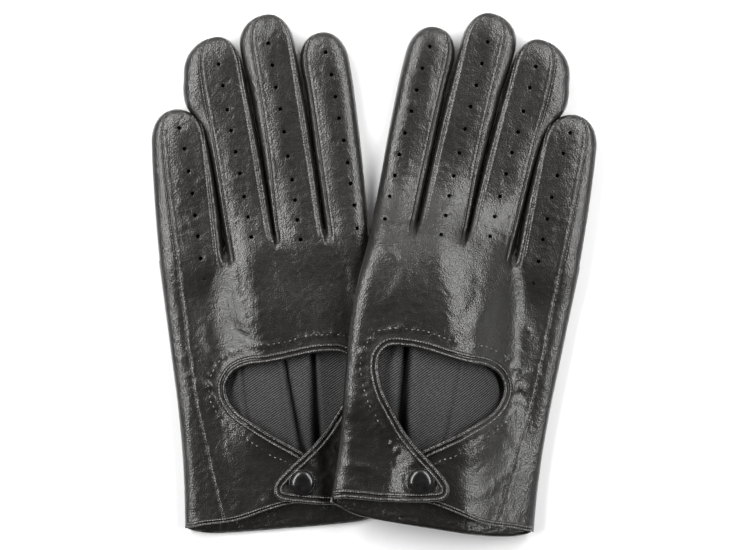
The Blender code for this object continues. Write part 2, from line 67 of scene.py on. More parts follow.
# Thickness of the leather, half the flattened hand's height, and how it rounds and rises.
LEATHER = 0.9
WRIST_HALF = 4.0
KNUCKLE_HALF = 5.0
KNUCKLE_RISE = (105.0, 130.0)
HAND_PUFF = 0.9
EDGE_ROUND = 6.5
UNDERSIDE = 0.1

# The folded thumb lifts the hand, and the left glove lifts the right one.  Each lift is
# eased in or out between two places, more gently than the CAD's.
THUMB_LIFT = 6.0
THUMB_LIFT_ACROSS = (2.0, 26.0)
THUMB_LIFT_START = (24.0, 56.0)
THUMB_LIFT_END = (93.0, 155.0)
REST_HEIGHT = 15.8
# The left glove's side, in millimetres on the floor: its x, its slope, and the y it is taken at.
REST_EDGE = (8.95, -0.0802, -109.0)
REST_PLATEAU = 29.0
REST_FALL_X = 40.0
REST_FALL_Y = (-6.0, 56.0)

# Every finger's half height and crown, the length and curve of its tip, and how much wider
# the sides that face a neighbour are.
FINGER_HALF = 5.0
FINGER_PUFF = 0.7
TIP_LENGTH = 15.0
TIP_POWER = 2.15
TIP_END = 0.9995
GAP_FILL = 0.35

# Each finger: hinge, lean in degrees, length from the hinge, and foot, where its own piece
# starts.  Along it lie its half widths on both sides, its two back seams and its holes; foot
# and these places are distances from the hinge, and across runs to the little finger.
FINGERS = {
    "index": {
        "hinge": INDEX_HINGE, "lean": 2.8, "length": 82.6, "foot": -8.0,
        "widths": ((-30, 10.6, 9.7), (0, 10.6, 9.8), (28, 11.4, 10.1), (54, 11.6, 10.3),
                   (68, 11.2, 11.4), (83, 10.6, 12.0)),
        "seam": ((-30, 7.2), (0, 7.3), (40, 7.7), (68, 8.5), (83, 8.6)), "near_seam": -9.0,
        "holes": ((72.4, -0.9), (61.9, -2.2), (51.6, -2.7), (41.6, -3.1), (31.2, -3.9),
                  (21.0, -4.4), (11.2, -4.5), (1.2, -4.9), (-9.5, -4.9)),
    },
    "middle": {
        "hinge": (-17.6, 142.0), "lean": 4.3, "length": 93.0, "foot": -8.0,
        "widths": ((-30, 11.0, 11.4), (0, 11.1, 11.4), (30, 11.5, 11.5), (55, 11.6, 12.2),
                   (76, 11.2, 14.0), (93, 10.6, 14.4)),
        "seam": ((-30, 10.0), (0, 9.4), (30, 8.0), (55, 7.9), (76, 8.1), (93, 8.1)),
        "near_seam": -9.1,
        "holes": ((78.8, 0.6), (68.6, 0.3), (58.3, 0.2), (48.2, -0.2), (37.6, -0.3), (26.3, -0.3),
                  (15.4, -0.5), (5.9, -0.4), (-3.3, -0.1), (-12.4, -0.2)),
    },
    "ring": {
        "hinge": (6.3, 142.0), "lean": 4.9, "length": 84.6, "foot": -8.0,
        "widths": ((-30, 11.4, 10.6), (0, 11.6, 10.6), (24, 11.6, 10.8), (40, 11.2, 11.9),
                   (48, 11.0, 14.6), (55, 10.9, 18.2), (62, 10.7, 18.6), (70, 10.4, 17.0),
                   (85, 9.8, 15.4)),
        "seam": ((-30, 8.4), (0, 8.2), (30, 8.0), (60, 8.4), (85, 7.8)), "near_seam": -9.2,
        "holes": ((71.1, 0.1), (61.1, -0.3), (49.9, -0.5), (40.1, -0.6), (30.2, -1.0),
                  (20.1, -1.3), (9.3, -1.5), (-0.3, -1.8), (-9.6, -1.8)),
    },
    "little": {
        "hinge": LITTLE_HINGE, "lean": 1.5, "length": 57.4, "foot": -11.0,
        "widths": ((-30, 15.0, 14.4), (0, 15.4, 14.0), (20, 15.0, 13.4), (34, 14.2, 12.7),
                   (44, 13.2, 12.0), (58, 12.4, 11.4)),
        "seam": ((-30, 4.9), (0, 6.0), (20, 6.5), (45, 6.6), (58, 6.2)), "near_seam": -12.4,
        "holes": ((48.2, -1.8), (38.4, -3.3), (27.9, -4.1), (17.6, -4.8), (7.5, -4.9),
                  (-2.2, -5.2), (-12.4, -5.4), (-22.6, -5.6)),
    },
}
HOLE_RADIUS = 0.92

# The hand's two sides and the outseam, each as (v, u), and the hems, each as (u, v).
THUMB_SIDE = ((-4, -49.2), (0, -49.3), (20, -49.6), (40, -50.1), (60, -51.6), (84, -53.0),
              (102, -52.7), (118, -51.2), (134, -50.2))
LITTLE_SIDE = ((-4, 45.7), (0, 45.6), (20, 44.4), (40, 44.0), (60, 44.4), (80, 45.4), (100, 46.4),
               (116, 47.2), (126, 47.6))
OUTSEAM = ((0, 26.6), (14, 29.0), (27, 31.0), (40, 32.8), (61, 35.6), (90, 37.5), (116, 38.6),
           (126, 39.0))
BACK_HEM = ((-60, 3.6), (-49, 4.2), (-44, 6.0), (-30, 6.9), (-15, 8.8), (-5, 9.4), (6.6, 7.2),
            (21.4, 3.6), (36, 2.8), (44, 2.0), (60, 1.6))
PALM_HEM = ((-60, 4.2), (-49, 2.0), (-44, 0.2), (-33, -2.4), (0, -2.8), (30, -2.5), (41, -0.8),
            (46, 1.2), (60, 1.6))

# The opening on the back, with the slit that runs down from it under the strap.
SLIT_U = -17.6
KEYHOLE_OUTER = (
    (-33.8, 76.9), (-25, 78), (-16.9, 77.5), (-7, 76), (1.5, 75.1), (9.6, 74.8), (15.8, 72.8),
    (19.8, 69), (21.6, 64.2), (20.6, 58.4), (16.6, 52.6), (7.8, 45.6), (1.2, 40.6), (-5.2, 36.2),
    (-11, 32.2),
)
KEYHOLE_FOOT = ((-14.6, 29.4), (-17, 26), (SLIT_U, 20), (SLIT_U, 4))
STRAP_ROOT_U = -27.0
KEYHOLE_INNER = ((-22.1, 39.8), (-28.4, 47.9), (-33.3, 54.6), (-36.6, 61.8), (-38.1, 67.4),
                 (-37.6, 72.6))
STRAP_EDGE_TOP = ((-27, 46), (-22.1, 39.8), (-16.3, 34.3), (-12.4, 31.1), (-6.5, 26.4),
                  (-1.6, 22.3), (1.4, 18.9))
STRAP_TIP = ((2.2, 16.6), (2, 14.4), (0.4, 12.5))
STRAP_EDGE_LOW = ((-2.7, 11.4), (-9, 10.1), (-15.2, 9.1), (-22, 7.9), (-27, 7.1))
STRAP_RISE = (-25.5, -13.8)
STRAP_CLEAR = 3.2
STRAP_THICK = 1.2
STRAP_SINK = 0.6
SNAP = (-10.6, 18.6)
EDGE_STEP = 0.75

# The fingers from the thumb side, and how far from each hinge the crotch lies on the
# finger's two sides.  Hand and finger melt together over ROOT_FADE, less at the sides.
ORDER = ("index", "middle", "ring", "little")
CROTCH = {"index": (-8, -8), "middle": (-8, -8), "ring": (-8, -15.5), "little": (-11, -11)}
ROOT_FADE = (24.0, 8.0)


def smooth(x, low, high):
    """Eases from 0 at low to 1 at high."""
    t = np.clip((np.asarray(x, float) - low) / (high - low), 0.0, 1.0)
    return t * t * (3.0 - 2.0 * t)


def bell(x, centre, width):
    """A smooth bump of height 1 at the centre."""
    return np.exp(-((x - centre) / width) ** 2)


def spline(points, step=0.5):
    """A smooth line through the points, with a point about every step millimetres."""
    p = np.array(points, float)
    if len(p) == 2:
        p = np.array([p[0], (p[0] + p[1]) / 2, p[1]])
    ends = np.vstack([2 * p[0] - p[1], p, 2 * p[-1] - p[-2]])
    out = []
    for a, b, c, d in zip(ends, ends[1:], ends[2:], ends[3:]):
        count = max(2, int(np.linalg.norm(c - b) / step))
        t = np.arange(count)[:, None] / count
        out.append(0.5 * (2 * b + (c - a) * t + (2 * a - 5 * b + 4 * c - d) * t ** 2
                          + (3 * b - a - 3 * c + d) * t ** 3))
    return np.vstack(out + [p[-1:]])


def lookup(table, x):
    """Values of a smooth line through a table of (x, y) at x."""
    line = spline(table, 1.0)
    return np.interp(x, line[:, 0], line[:, 1])


def value(table, x):
    """One value of a table's line, as a plain number."""
    return float(lookup(table, x))


def even(path, step):
    """The path again with its points an even distance apart."""
    path = np.asarray(path, float)
    lengths = np.concatenate([[0], np.cumsum(np.linalg.norm(np.diff(path, axis=0), axis=1))])
    count = max(2, int(round(lengths[-1] / step)) + 1)
    where = np.linspace(0, lengths[-1], count)
    return np.stack([np.interp(where, lengths, path[:, k]) for k in range(path.shape[1])], axis=1)


def inside(points, outline):
    """Which points lie inside a closed outline."""
    x, y = points[:, 0], points[:, 1]
    found = np.zeros(len(points), bool)
    for (x0, y0), (x1, y1) in zip(outline, np.roll(outline, -1, axis=0)):
        crosses = (y0 > y) != (y1 > y)
        with np.errstate(divide="ignore", invalid="ignore"):
            at = (x1 - x0) * (y - y0) / (y1 - y0) + x0
        found ^= crosses & (x < at)
    return found


def distance(points, path, closed=False):
    """Distance from each point to a path, and how far along the path the nearest place is."""
    path = np.asarray(path, float)
    ends = np.roll(path, -1, axis=0) if closed else path[1:]
    starts = path if closed else path[:-1]
    best = np.full(len(points), 1e9)
    along = np.zeros(len(points))
    run = 0.0
    for a, b in zip(starts, ends):
        d = b - a
        size = float(d @ d)
        if size < 1e-12:
            continue
        t = np.clip((points - a) @ d / size, 0, 1)
        gap = np.linalg.norm(points - (a + t[:, None] * d), axis=1)
        closer = gap < best
        best[closer] = gap[closer]
        along[closer] = run + t[closer] * math.sqrt(size)
        run += math.sqrt(size)
    return best, along


def fbm(points, scale, octaves=3, stretch=(1.0, 1.0, 1.0), seed=0.0):
    """Smooth noise about -1 to 1 at each point."""
    total = np.zeros(len(points))
    weight, size = 1.0, 1.0
    sx, sy, sz = (1.0 / (scale * k) for k in stretch)
    for _ in range(octaves):
        total += weight * np.array([
            noise.noise(Vector((x * sx * size + seed, y * sy * size - seed, z * sz * size + 7 * seed)))
            for x, y, z in points
        ])
        weight *= 0.5
        size *= 2.1
    return total


def layered(uv, side, layers):
    """The points with a height that gives each glove its own noise: left's layer, right's."""
    return np.column_stack([uv, np.full(len(uv), layers[side == "right"])])


def hand_half(v):
    """Half the flattened hand's height."""
    return WRIST_HALF + (KNUCKLE_HALF - WRIST_HALF) * smooth(v, *KNUCKLE_RISE)


def finger_axes(name):
    """A finger's hinge and its two directions, along it and across it."""
    finger = FINGERS[name]
    turn = math.radians(finger["lean"])
    hinge = np.array(finger["hinge"])
    ahead = np.array((math.sin(turn), math.cos(turn)))
    across = np.array((math.cos(turn), -math.sin(turn)))
    return hinge, ahead, across


def to_glove(name, s, a):
    """Places s along a finger and a across it, in the glove's flat frame."""
    hinge, ahead, across = finger_axes(name)
    return hinge + np.multiply.outer(s, ahead) + np.multiply.outer(a, across)


def to_finger(name, uv):
    """How far along a finger and across it the flat frame's places lie."""
    hinge, ahead, across = finger_axes(name)
    return (uv - hinge) @ ahead, (uv - hinge) @ across


def tip_round(s, length, tip):
    """How the width shrinks over the tip of a finger or thumb."""
    t = np.clip((s - (length - tip)) / tip, 0, TIP_END)
    return (1.0 - t ** TIP_POWER) ** (1 / TIP_POWER)


def tip_scale(name, s):
    return tip_round(s, FINGERS[name]["length"], TIP_LENGTH)


def finger_edges(name, s):
    """How far across each of the two sides lies."""
    table = FINGERS[name]["widths"]
    beside = GAP_FILL * (1 - smooth(s, 45.0, 60.0))
    low = lookup([(row[0], row[1]) for row in table], s) + beside * (name != "index")
    high = lookup([(row[0], row[2]) for row in table], s) + beside * (name != "little")
    return -low * tip_scale(name, s), high * tip_scale(name, s)


def finger_seams(name, s):
    """How far across each of the two back seams lies."""
    scale = tip_scale(name, s)
    return FINGERS[name]["near_seam"] * scale, lookup(FINGERS[name]["seam"], s) * scale


# Where a finger's crown lies across it, and the roundness of its palm side.
CROWN = 0.44
UNDER_POWER = 3.2
# Powers of the thumb side's drop, the index finger's first; slope and powers of the other side.
INDEX_ROLL = (2.4, 2.1)
NEAR_ROLL = (12.0, 2.3)
FAR_SLOPE = 0.45
FAR_ROLL = (11.0, 2.2)


def rounded(x, powers):
    return (1.0 - x ** powers[0]) ** (1 / powers[1])


def section(name, s, a, over):
    """Height of a finger's surface, over or under, at s along it and a across.

    The thumb side drops steeply; the little-finger side slopes, so its side strip shows."""
    low, high = finger_edges(name, s)
    centre = low + (high - low) * CROWN
    near_side = a < centre
    span = np.where(near_side, centre - low, high - centre)
    x = np.clip(np.abs(a - centre) / np.maximum(span, 1e-6), 0, 1)
    scale = tip_scale(name, s) ** 0.75
    if not over:
        under = rounded(x, (UNDER_POWER, UNDER_POWER))
        return FINGER_HALF - (FINGER_HALF - UNDERSIDE) * scale * under
    rolled = rounded(x, INDEX_ROLL if name == "index" else NEAR_ROLL)
    sloping = (1.0 - FAR_SLOPE * x ** FAR_ROLL[1]) * rounded(x, FAR_ROLL)
    rise = np.where(near_side, rolled, sloping)
    near, far = finger_seams(name, s)
    groove = 0.75 * bell(a, far, 0.42) - 0.25 * bell(a - far, -0.95, 0.55)
    if name != "index":
        groove += 0.35 * bell(a, near, 0.5)
    return FINGER_HALF + scale * ((FINGER_HALF + FINGER_PUFF) * rise - groove * np.clip(rise * 1.6, 0, 1))


def owner(uv):
    """The number of the finger whose width each point of the knuckles lies under."""
    best = np.zeros(len(uv), int)
    for k, (one, two) in enumerate(zip(ORDER, ORDER[1:])):
        s1, a1 = to_finger(one, uv)
        s2, a2 = to_finger(two, uv)
        edge1 = finger_edges(one, np.minimum(s1, 20))[1]
        edge2 = finger_edges(two, np.minimum(s2, 20))[0]
        best[(a1 - edge1) + (a2 - edge2) > 0] = k + 1
    return best


def root_share(name, s, a):
    """0 on the hand, 1 on the finger, eased across the crotch line."""
    near, far = CROTCH[name]
    foot = near + (far - near) * smooth(a, -4.0, 8.0)
    low, high = finger_edges(name, s)
    off = np.clip(np.abs(2 * a - low - high) / (high - low), 0, 1)
    fade = ROOT_FADE[0] + (ROOT_FADE[1] - ROOT_FADE[0]) * smooth(off, 0.1, 0.85)
    return smooth(s, foot - fade, foot + 1.0)


def hand_surface(uv, over, only=None):
    """Height of the glove, over or under, before creases; only names the finger it lies on."""
    u, v = uv[:, 0], uv[:, 1]
    left, right = lookup(THUMB_SIDE, v), lookup(LITTLE_SIDE, v)
    half = hand_half(v)
    gap = np.clip(np.minimum(u - left, right - u) / EDGE_ROUND, 0, 1)
    rise = np.sqrt(np.clip(1 - (1 - gap) ** 2, 0, 1))
    middle = np.clip((u - left) * (right - u) / ((right - left) / 2) ** 2, 0, 1)
    if over:
        z = half + rise * (half + HAND_PUFF * middle)
    else:
        z = half - rise * (half - UNDERSIDE)
    for name, mine in owners(uv, only):
        s, a = to_finger(name, uv[mine])
        share = root_share(name, s, a)
        z[mine] = z[mine] * (1 - share) + section(name, s, a, over) * share
    return z


def owners(uv, only=None):
    """Each finger's name with the points that lie on its column."""
    if only:
        return [(only, np.ones(len(uv), bool))]
    who = owner(uv)
    return [(name, who == k) for k, name in enumerate(ORDER) if (who == k).any()]


class Glove:
    """One glove's flat frame, placed by two of its finger hinges."""

    def __init__(self, side):
        self.side = side
        self.turn = -1.0 if side == "left" else 1.0
        index = np.array(JOINTS[side + "_index_bend"]["pos_m"][:2]) / MM
        little = np.array(JOINTS[side + "_little_bend"]["pos_m"][:2]) / MM
        flat = np.array(LITTLE_HINGE) - np.array(INDEX_HINGE)
        real = (little - index) * (self.turn, 1.0)
        lean = math.atan2(flat[1], flat[0]) - math.atan2(real[1], real[0])
        self.axes = np.array(((math.cos(lean), math.sin(lean)), (-math.sin(lean), math.cos(lean))))
        self.origin = index * (self.turn, 1.0) - self.axes @ np.array(INDEX_HINGE)

    def to_floor(self, uv):
        """Where the flat frame's places lie on the floor, in millimetres."""
        xy = np.asarray(uv, float) @ self.axes.T + self.origin
        return xy * (self.turn, 1.0)

    def to_flat(self, points):
        """The flat frame's places of world points."""
        return (points[:, :2] / MM * (self.turn, 1.0) - self.origin) @ self.axes

    def lift(self, uv):
        """How far the folded thumb lifts the glove."""
        u, v = uv[:, 0], uv[:, 1]
        rise = THUMB_LIFT * (1 - smooth(u, *THUMB_LIFT_ACROSS)) * smooth(v, *THUMB_LIFT_START)
        return rise * (1 - smooth(v, *THUMB_LIFT_END))

    def rest(self, xy):
        """How far the left glove lifts the right one."""
        if self.side == "left":
            return np.zeros(len(xy))
        edge = REST_EDGE[0] + REST_EDGE[1] * (xy[:, 1] - REST_EDGE[2]) + REST_PLATEAU
        across = 1 - smooth(xy[:, 0] - edge, 0, REST_FALL_X)
        return REST_HEIGHT * across * (1 - smooth(xy[:, 1], *REST_FALL_Y))

    def place(self, uv, z, lifted=True):
        """World points in metres."""
        uv = np.atleast_2d(np.asarray(uv, float))
        xy = self.to_floor(uv)
        z = np.asarray(z, float) + self.rest(xy)
        if lifted:
            z = z + self.lift(uv)
        return np.column_stack([xy, z]) * MM

    def name(self, what):
        """The name of one of this glove's pieces, nodes or bodies."""
        return f"{self.side}_{what}"

    def back(self, uv):
        return over_height(uv, self.side)


# ---------------------------------------------------------------- outlines

def keyhole_loop():
    """The whole closed outline cut from the hand's back: opening, slit and strap zone."""
    top = spline(list(KEYHOLE_FOOT)[::-1][1:] + list(KEYHOLE_OUTER)[::-1] + list(KEYHOLE_INNER)[::-1], 0.8)
    keep = top[(top[:, 0] > STRAP_ROOT_U) | (top[:, 1] > 46.2)]
    root = [(STRAP_ROOT_U, v) for v in (46.1, 36.0, 26.0, 16.0, -2.0)]
    return even(np.vstack([keep, root, [(SLIT_U, -2.0)], keep[:1]]), 0.9)[:-1]


# The bound edge runs on without a break: the thumb side's hem, round the strap, round the
# opening and under the strap.  It is walked with the leather on its left.
THUMB_HEM = ((-48, 4.6), (-44, 5.8), (-38, 6.4), (-32, 6.8))
BOUND_EDGE = even(spline(
    THUMB_HEM + STRAP_EDGE_LOW[::-1] + STRAP_TIP[::-1] + STRAP_EDGE_TOP[::-1] + KEYHOLE_INNER[1:]
    + KEYHOLE_OUTER + ((-14.6, 29.4), (-17.4, 26.6)), 0.5), EDGE_STEP)
STRAP_SPAN = np.flatnonzero((BOUND_EDGE[:, 0] > STRAP_ROOT_U) & (np.arange(len(BOUND_EDGE)) < 130))
LOW_ROOT = int(STRAP_SPAN[0])
TOP_ROOT = int(next(i for i in range(LOW_ROOT + 20, 200) if BOUND_EDGE[i, 0] < STRAP_ROOT_U))
OPENING_EDGE = BOUND_EDGE[TOP_ROOT:]
PUCKER_LINE = BOUND_EDGE[TOP_ROOT - 26:]
STRAP_EDGE = BOUND_EDGE[LOW_ROOT:TOP_ROOT + 1]
KEYHOLE_CUT = keyhole_loop()
OUTSEAM_LINE = np.array([(lookup(OUTSEAM, v), v) for v in np.arange(3.0, 124.0, 1.0)])

# The puckers round the opening, in a ring beyond the bound edge, and the hem's ripples.
PUCKER_GAP = 7.4
PUCKER_PITCH = 3.1
HEM_PITCH = 1.9


def creases(uv, side):
    """Small height changes of the back's leather: puckers at the opening, soft wrinkles."""
    gap, along = distance(uv, PUCKER_LINE)
    flat = layered(uv, side, (3.0, 11.0))
    soft = fbm(flat, 26.0, 2, (0.8, 1.4, 1.0), 3.1)
    fine = fbm(flat, 5.0, 3, (1.0, 1.0, 1.0), 8.4)
    tiny = fbm(flat, 2.4, 2, (1.0, 1.0, 1.0), 4.9)
    z = 0.40 * soft + 0.07 * fine + 0.035 * tiny
    puckered = bell(gap - PUCKER_GAP, 0.8 * soft, 1.15)
    wave = np.sin(2 * math.pi * along / PUCKER_PITCH + 2.3 * soft)
    z += puckered * (0.42 * np.maximum(wave, -0.3) + 0.7 * np.maximum(fine, -0.15) + 0.12 * tiny)
    z -= 0.22 * bell(gap, 5.6, 1.5)
    seam_gap, seam_along = distance(uv, OUTSEAM_LINE)
    side_sign = np.sign(uv[:, 0] - lookup(OUTSEAM, uv[:, 1]))
    z -= 0.5 * bell(seam_gap, 0, 0.42)
    z += 0.32 * bell(seam_gap, 1.0, 0.7) * (side_sign < 0)
    ripple = np.sin(2 * math.pi * seam_along / PUCKER_PITCH + 2.0 * soft)
    z += bell(seam_gap, 0, 2.2) * 0.10 * ripple
    low = bell(uv[:, 1] - lookup(BACK_HEM, uv[:, 0]), 4.5, 3.0)
    z += low * (0.05 * np.sin(uv[:, 0] * 2 * math.pi / HEM_PITCH + 2.2 * soft) + 0.30 * fine)
    thumb_edge = bell(edge_share(uv) * 3.0, 5.0, 4.5) * (uv[:, 0] < 0) * (1 - smooth(uv[:, 1], 60, 95))
    rolls = fbm(flat, 9.0, 3, (1.7, 0.55, 1.0), 12.7)
    z += thumb_edge * (0.55 * rolls)
    for (u0, v0), (u1, v1), width, height in FOLD_LINES[side]:
        start, run = np.array((u0, v0)), np.array((u1 - u0, v1 - v0))
        size = float(run @ run)
        t = (uv - start) @ run / size
        off = ((uv - start) @ np.array((run[1], -run[0]))) / math.sqrt(size)
        taper = smooth(t, -0.15, 0.3) * (1 - smooth(t, 0.7, 1.15))
        bow = off + 2.2 * np.sin(math.pi * np.clip(t, 0, 1))
        z += height * taper * bell(bow, 0, width)
    return z


# Soft folds of the back's leather: two ends, half width and height of each.
FOLD_LINES = {
    "right": (
        ((14, 118), (-3, 84), 3, 0.55), ((2, 112), (-8, 86), 2.2, -0.4),
        ((24, 100), (30, 72), 3.4, 0.5), ((-44, 128), (-30, 131), 1.6, 0.5),
        ((-48, 120), (-34, 112), 2.4, 0.5), ((-30, 118), (-42, 92), 3, 0.5),
        ((-40, 52), (-30, 26), 2.4, 0.6), ((-45, 20), (-26, 17), 1.3, 0.5),
        ((22, 46), (6, 30), 4, 0.5), ((32, 34), (14, 14), 2.2, 0.35),
        ((24, 64), (34, 76), 1.3, 0.45), ((24, 60), (33, 62), 1.1, -0.35),
        ((10, 60), (36, 24), 1.6, 0.3),
    ),
    "left": (
        ((-8, 116), (-22, 88), 3.2, 0.5), ((12, 116), (8, 88), 3, 0.45),
        ((28, 96), (24, 78), 2.6, 0.4), ((-42, 118), (-46, 90), 2.6, 0.5),
        ((24, 56), (34, 70), 1.3, 0.4), ((24, 40), (8, 24), 3.6, 0.5),
        ((32, 30), (16, 12), 2, 0.35), ((-40, 48), (-30, 26), 2.4, 0.5),
        ((20, 100), (4, 84), 1.6, -0.35), ((38, 60), (40, 24), 1.8, 0.3),
    ),
}


def edge_share(uv):
    """How far in from the hand's sides each place lies, in units of 3 mm."""
    left, right = lookup(THUMB_SIDE, uv[:, 1]), lookup(LITTLE_SIDE, uv[:, 1])
    return np.minimum(uv[:, 0] - left, right - uv[:, 0]) / 3.0


def over_height(uv, side, only=None):
    """Height of the back's leather with its creases, from the hem to the fingertips."""
    z = hand_surface(uv, True, only)
    hand_folds = creases(uv, side) * np.clip(edge_share(uv), 0, 1)
    for name, mine in owners(uv, only):
        s, a = to_finger(name, uv[mine])
        foot = FINGERS[name]["foot"]
        share = smooth(s, foot - 12.0, foot + 3.0)
        low, high = finger_edges(name, s)
        rim = np.clip(np.minimum(a - low, high - a) / 3.0, 0, 1)
        z[mine] += hand_folds[mine] * (1 - share) + share * rim * finger_creases(uv[mine], s, side)
        for hole in FINGERS[name]["holes"]:
            gap = np.hypot(s - hole[0], a - hole[1])
            z[mine] -= 0.10 * bell(gap, HOLE_RADIUS, 0.6)
    return z


def finger_creases(uv, s, side):
    """Soft folds along a finger and the fine cross lines near its root."""
    flat = layered(uv, side, (5.0, 17.0))
    soft = fbm(flat, 13.0, 2, (0.75, 2.0, 1.0), 5.7)
    fine = fbm(flat, 3.2, 2, (2.2, 0.7, 1.0), 2.9)
    tiny = fbm(flat, 2.2, 1, (1.3, 0.9, 1.0), 3.3)
    root = 1 - smooth(s, 6.0, 40.0)
    return 0.28 * soft + 0.035 * fine + 0.08 * root * fine + 0.02 * tiny


# ---------------------------------------------------------------- mesh helpers

def make(name, points, faces, finish, normals=None):
    """A mesh object from world points in metres; rows of zeros in normals are left to Blender."""
    mesh = bpy.data.meshes.new(name)
    mesh.from_pydata([tuple(p) for p in points], [], [tuple(int(i) for i in f) for f in faces])
    mesh.shade_smooth()
    if normals is not None:
        mesh.normals_split_custom_set_from_vertices([tuple(n) for n in normals])
    mesh.materials.append(finish)
    made = bpy.data.objects.new(name, mesh)
    bpy.context.scene.collection.objects.link(made)
    return made


def turned_outward(obj):
    """Makes a closed piece's faces all look outward."""
    box = bmesh.new()
    box.from_mesh(obj.data)
    bmesh.ops.recalc_face_normals(box, faces=box.faces)
    box.to_mesh(obj.data)
    box.free()
    return obj


def welded(points, faces, gap=0.00003):
    """The same surface with points closer than the gap made one, and empty faces dropped."""
    keys = np.round(points / gap).astype(int)
    _, first, index = np.unique(keys, axis=0, return_index=True, return_inverse=True)
    faces = index.reshape(-1)[faces]
    full = (faces[:, 0] != faces[:, 1]) & (faces[:, 1] != faces[:, 2]) & (faces[:, 2] != faces[:, 0])
    return points[first], faces[full]


def point_normals(points, faces):
    """The mean direction of the triangles round each point."""
    a, b, c = points[faces[:, 0]], points[faces[:, 1]], points[faces[:, 2]]
    flat = np.cross(b - a, c - a)
    out = np.zeros_like(points)
    for k in range(3):
        np.add.at(out, faces[:, k], flat)
    return out / np.maximum(np.linalg.norm(out, axis=1, keepdims=True), 1e-15)


def leather_skin(name, points, faces, thickness, exact, is_joint):
    """A sheet with thickness: triangles, their inner copy and rims round every open edge.

    exact(points) gives the true normals where is_joint(points) holds: there the sheet runs
    on into another piece, so it gets no rim and its shading has to match."""
    points, faces = welded(points, faces)
    normals = point_normals(points, faces)
    at_joint = is_joint(points)
    normals[at_joint] = exact(points[at_joint])
    inner = points - normals * thickness * MM
    edges = np.sort(faces[:, [0, 1, 1, 2, 2, 0]].reshape(-1, 2), axis=1)
    _, index, count = np.unique(edges, axis=0, return_inverse=True, return_counts=True)
    open_edge = (count[index.reshape(-1)] == 1).reshape(-1, 3)
    sides = np.stack([faces, np.roll(faces, -1, axis=1)], axis=-1)[open_edge]
    a, b = sides[~at_joint[sides].all(axis=1)].T
    rims = np.stack([points[a], points[b], inner[b], inner[a]], axis=1).reshape(-1, 3)
    total = len(points)
    rim_faces = 2 * total + 4 * np.arange(len(a))[:, None] + (1, 0, 3, 2)
    everything = np.vstack([points, inner, rims])
    custom = np.zeros_like(everything)
    custom[:total] = normals
    all_faces = list(faces) + list(faces[:, ::-1] + total) + list(rim_faces)
    return make(name, everything, all_faces, BACK, custom)


def triangulated(interior, outline, holes=(), margin=0.35):
    """Points and triangles of a flat region with round or long holes cut from it."""
    outline = np.asarray(outline, float)
    loops = [outline] + [np.asarray(h, float) for h in holes]
    keep = inside(interior, outline)
    for loop in loops:
        gap, _ = distance(interior, loop, closed=True)
        keep &= gap > margin
    for hole in loops[1:]:
        keep &= ~inside(interior, hole)
    points = [interior[keep]]
    edges = []
    start = int(keep.sum())
    for loop in loops:
        count = len(loop)
        edges += [(start + k, start + (k + 1) % count) for k in range(count)]
        points.append(loop)
        start += count
    points = np.vstack(points)
    found = geometry.delaunay_2d_cdt([Vector(p) for p in points], edges, [], 0, 1e-5)
    coords = np.array([tuple(p) for p in found[0]])
    faces = np.array(found[2], int)
    centres = coords[faces].mean(axis=1)
    good = inside(centres, outline)
    for hole in loops[1:]:
        good &= ~inside(centres, hole)
    return coords, faces[good]


def grid_faces(rows, columns, ring=False):
    """Four-sided faces of a grid of points; a ring's last column joins its first."""
    faces = []
    last = columns if ring else columns - 1
    for i in range(rows - 1):
        for j in range(last):
            k = (j + 1) % columns
            faces.append((i * columns + j, i * columns + k, (i + 1) * columns + k, (i + 1) * columns + j))
    return faces


def finger_columns(name, s):
    """Positions across a finger, close together at its edges and seams."""
    low, high = finger_edges(name, s)
    near, far = finger_seams(name, s)
    def spread(a, b, shares):
        return [a + (b - a) * t for t in shares]
    columns = spread(low, near, (0.0, 0.02, 0.09, 0.2, 0.36, 0.55, 0.75, 0.88))
    columns += spread(near, far, np.concatenate([[0.0, 0.025], np.linspace(0.055, 0.945, 18), [0.975]]))
    columns += spread(far, high, (0.0, 0.1, 0.22, 0.38, 0.55, 0.72, 0.86, 0.94, 0.985, 1.0))
    return np.stack(columns, axis=-1)


def finger_stations(name):
    """Places along a finger's own piece, from its foot to its tip."""
    finger = FINGERS[name]
    body = finger["length"] - TIP_LENGTH
    straight = np.linspace(finger["foot"], body, int((body - finger["foot"]) / 0.95))
    return np.concatenate([straight, body + TIP_LENGTH * tip_steps(20)])


def tip_steps(count):
    """Shares of the way over a rounded tip, closer together towards its end."""
    return np.sin(np.linspace(0, math.pi / 2, count))[1:] * TIP_END


def circle(centre, radius, count=14):
    angles = np.arange(count) * 2 * math.pi / count
    return np.column_stack([centre[0] + radius * np.cos(angles), centre[1] + radius * np.sin(angles)])


def triangles(quads):
    """Each four-sided face cut in two."""
    quads = np.asarray(quads)
    return np.vstack([quads[:, [0, 1, 2]], quads[:, [0, 2, 3]]])


def facing(points, faces, up):
    """Triangles ordered so that the sheet as a whole faces up, or down."""
    a, b, c = points[faces[:, 0]], points[faces[:, 1]], points[faces[:, 2]]
    lifts = np.cross(b - a, c - a)[:, 2].sum()
    return faces if (lifts > 0) == up else faces[:, ::-1]


def true_normals(glove, points, only=None):
    """Normals of the back's leather at world points, from its height function."""
    uv = glove.to_flat(points)
    step = 0.15
    def at(du, dv):
        moved = uv + (du, dv)
        return glove.place(moved, over_height(moved, glove.side, only))
    out = np.cross(at(step, 0) - at(-step, 0), at(0, step) - at(0, -step))
    out *= np.sign(out[:, 2:3])
    return out / np.linalg.norm(out, axis=1, keepdims=True)


def mid_height(uv, only=None):
    """Halfway between the glove's two surfaces."""
    return hand_surface(uv, False, only) * 0.5 + hand_surface(uv, True, only) * 0.5


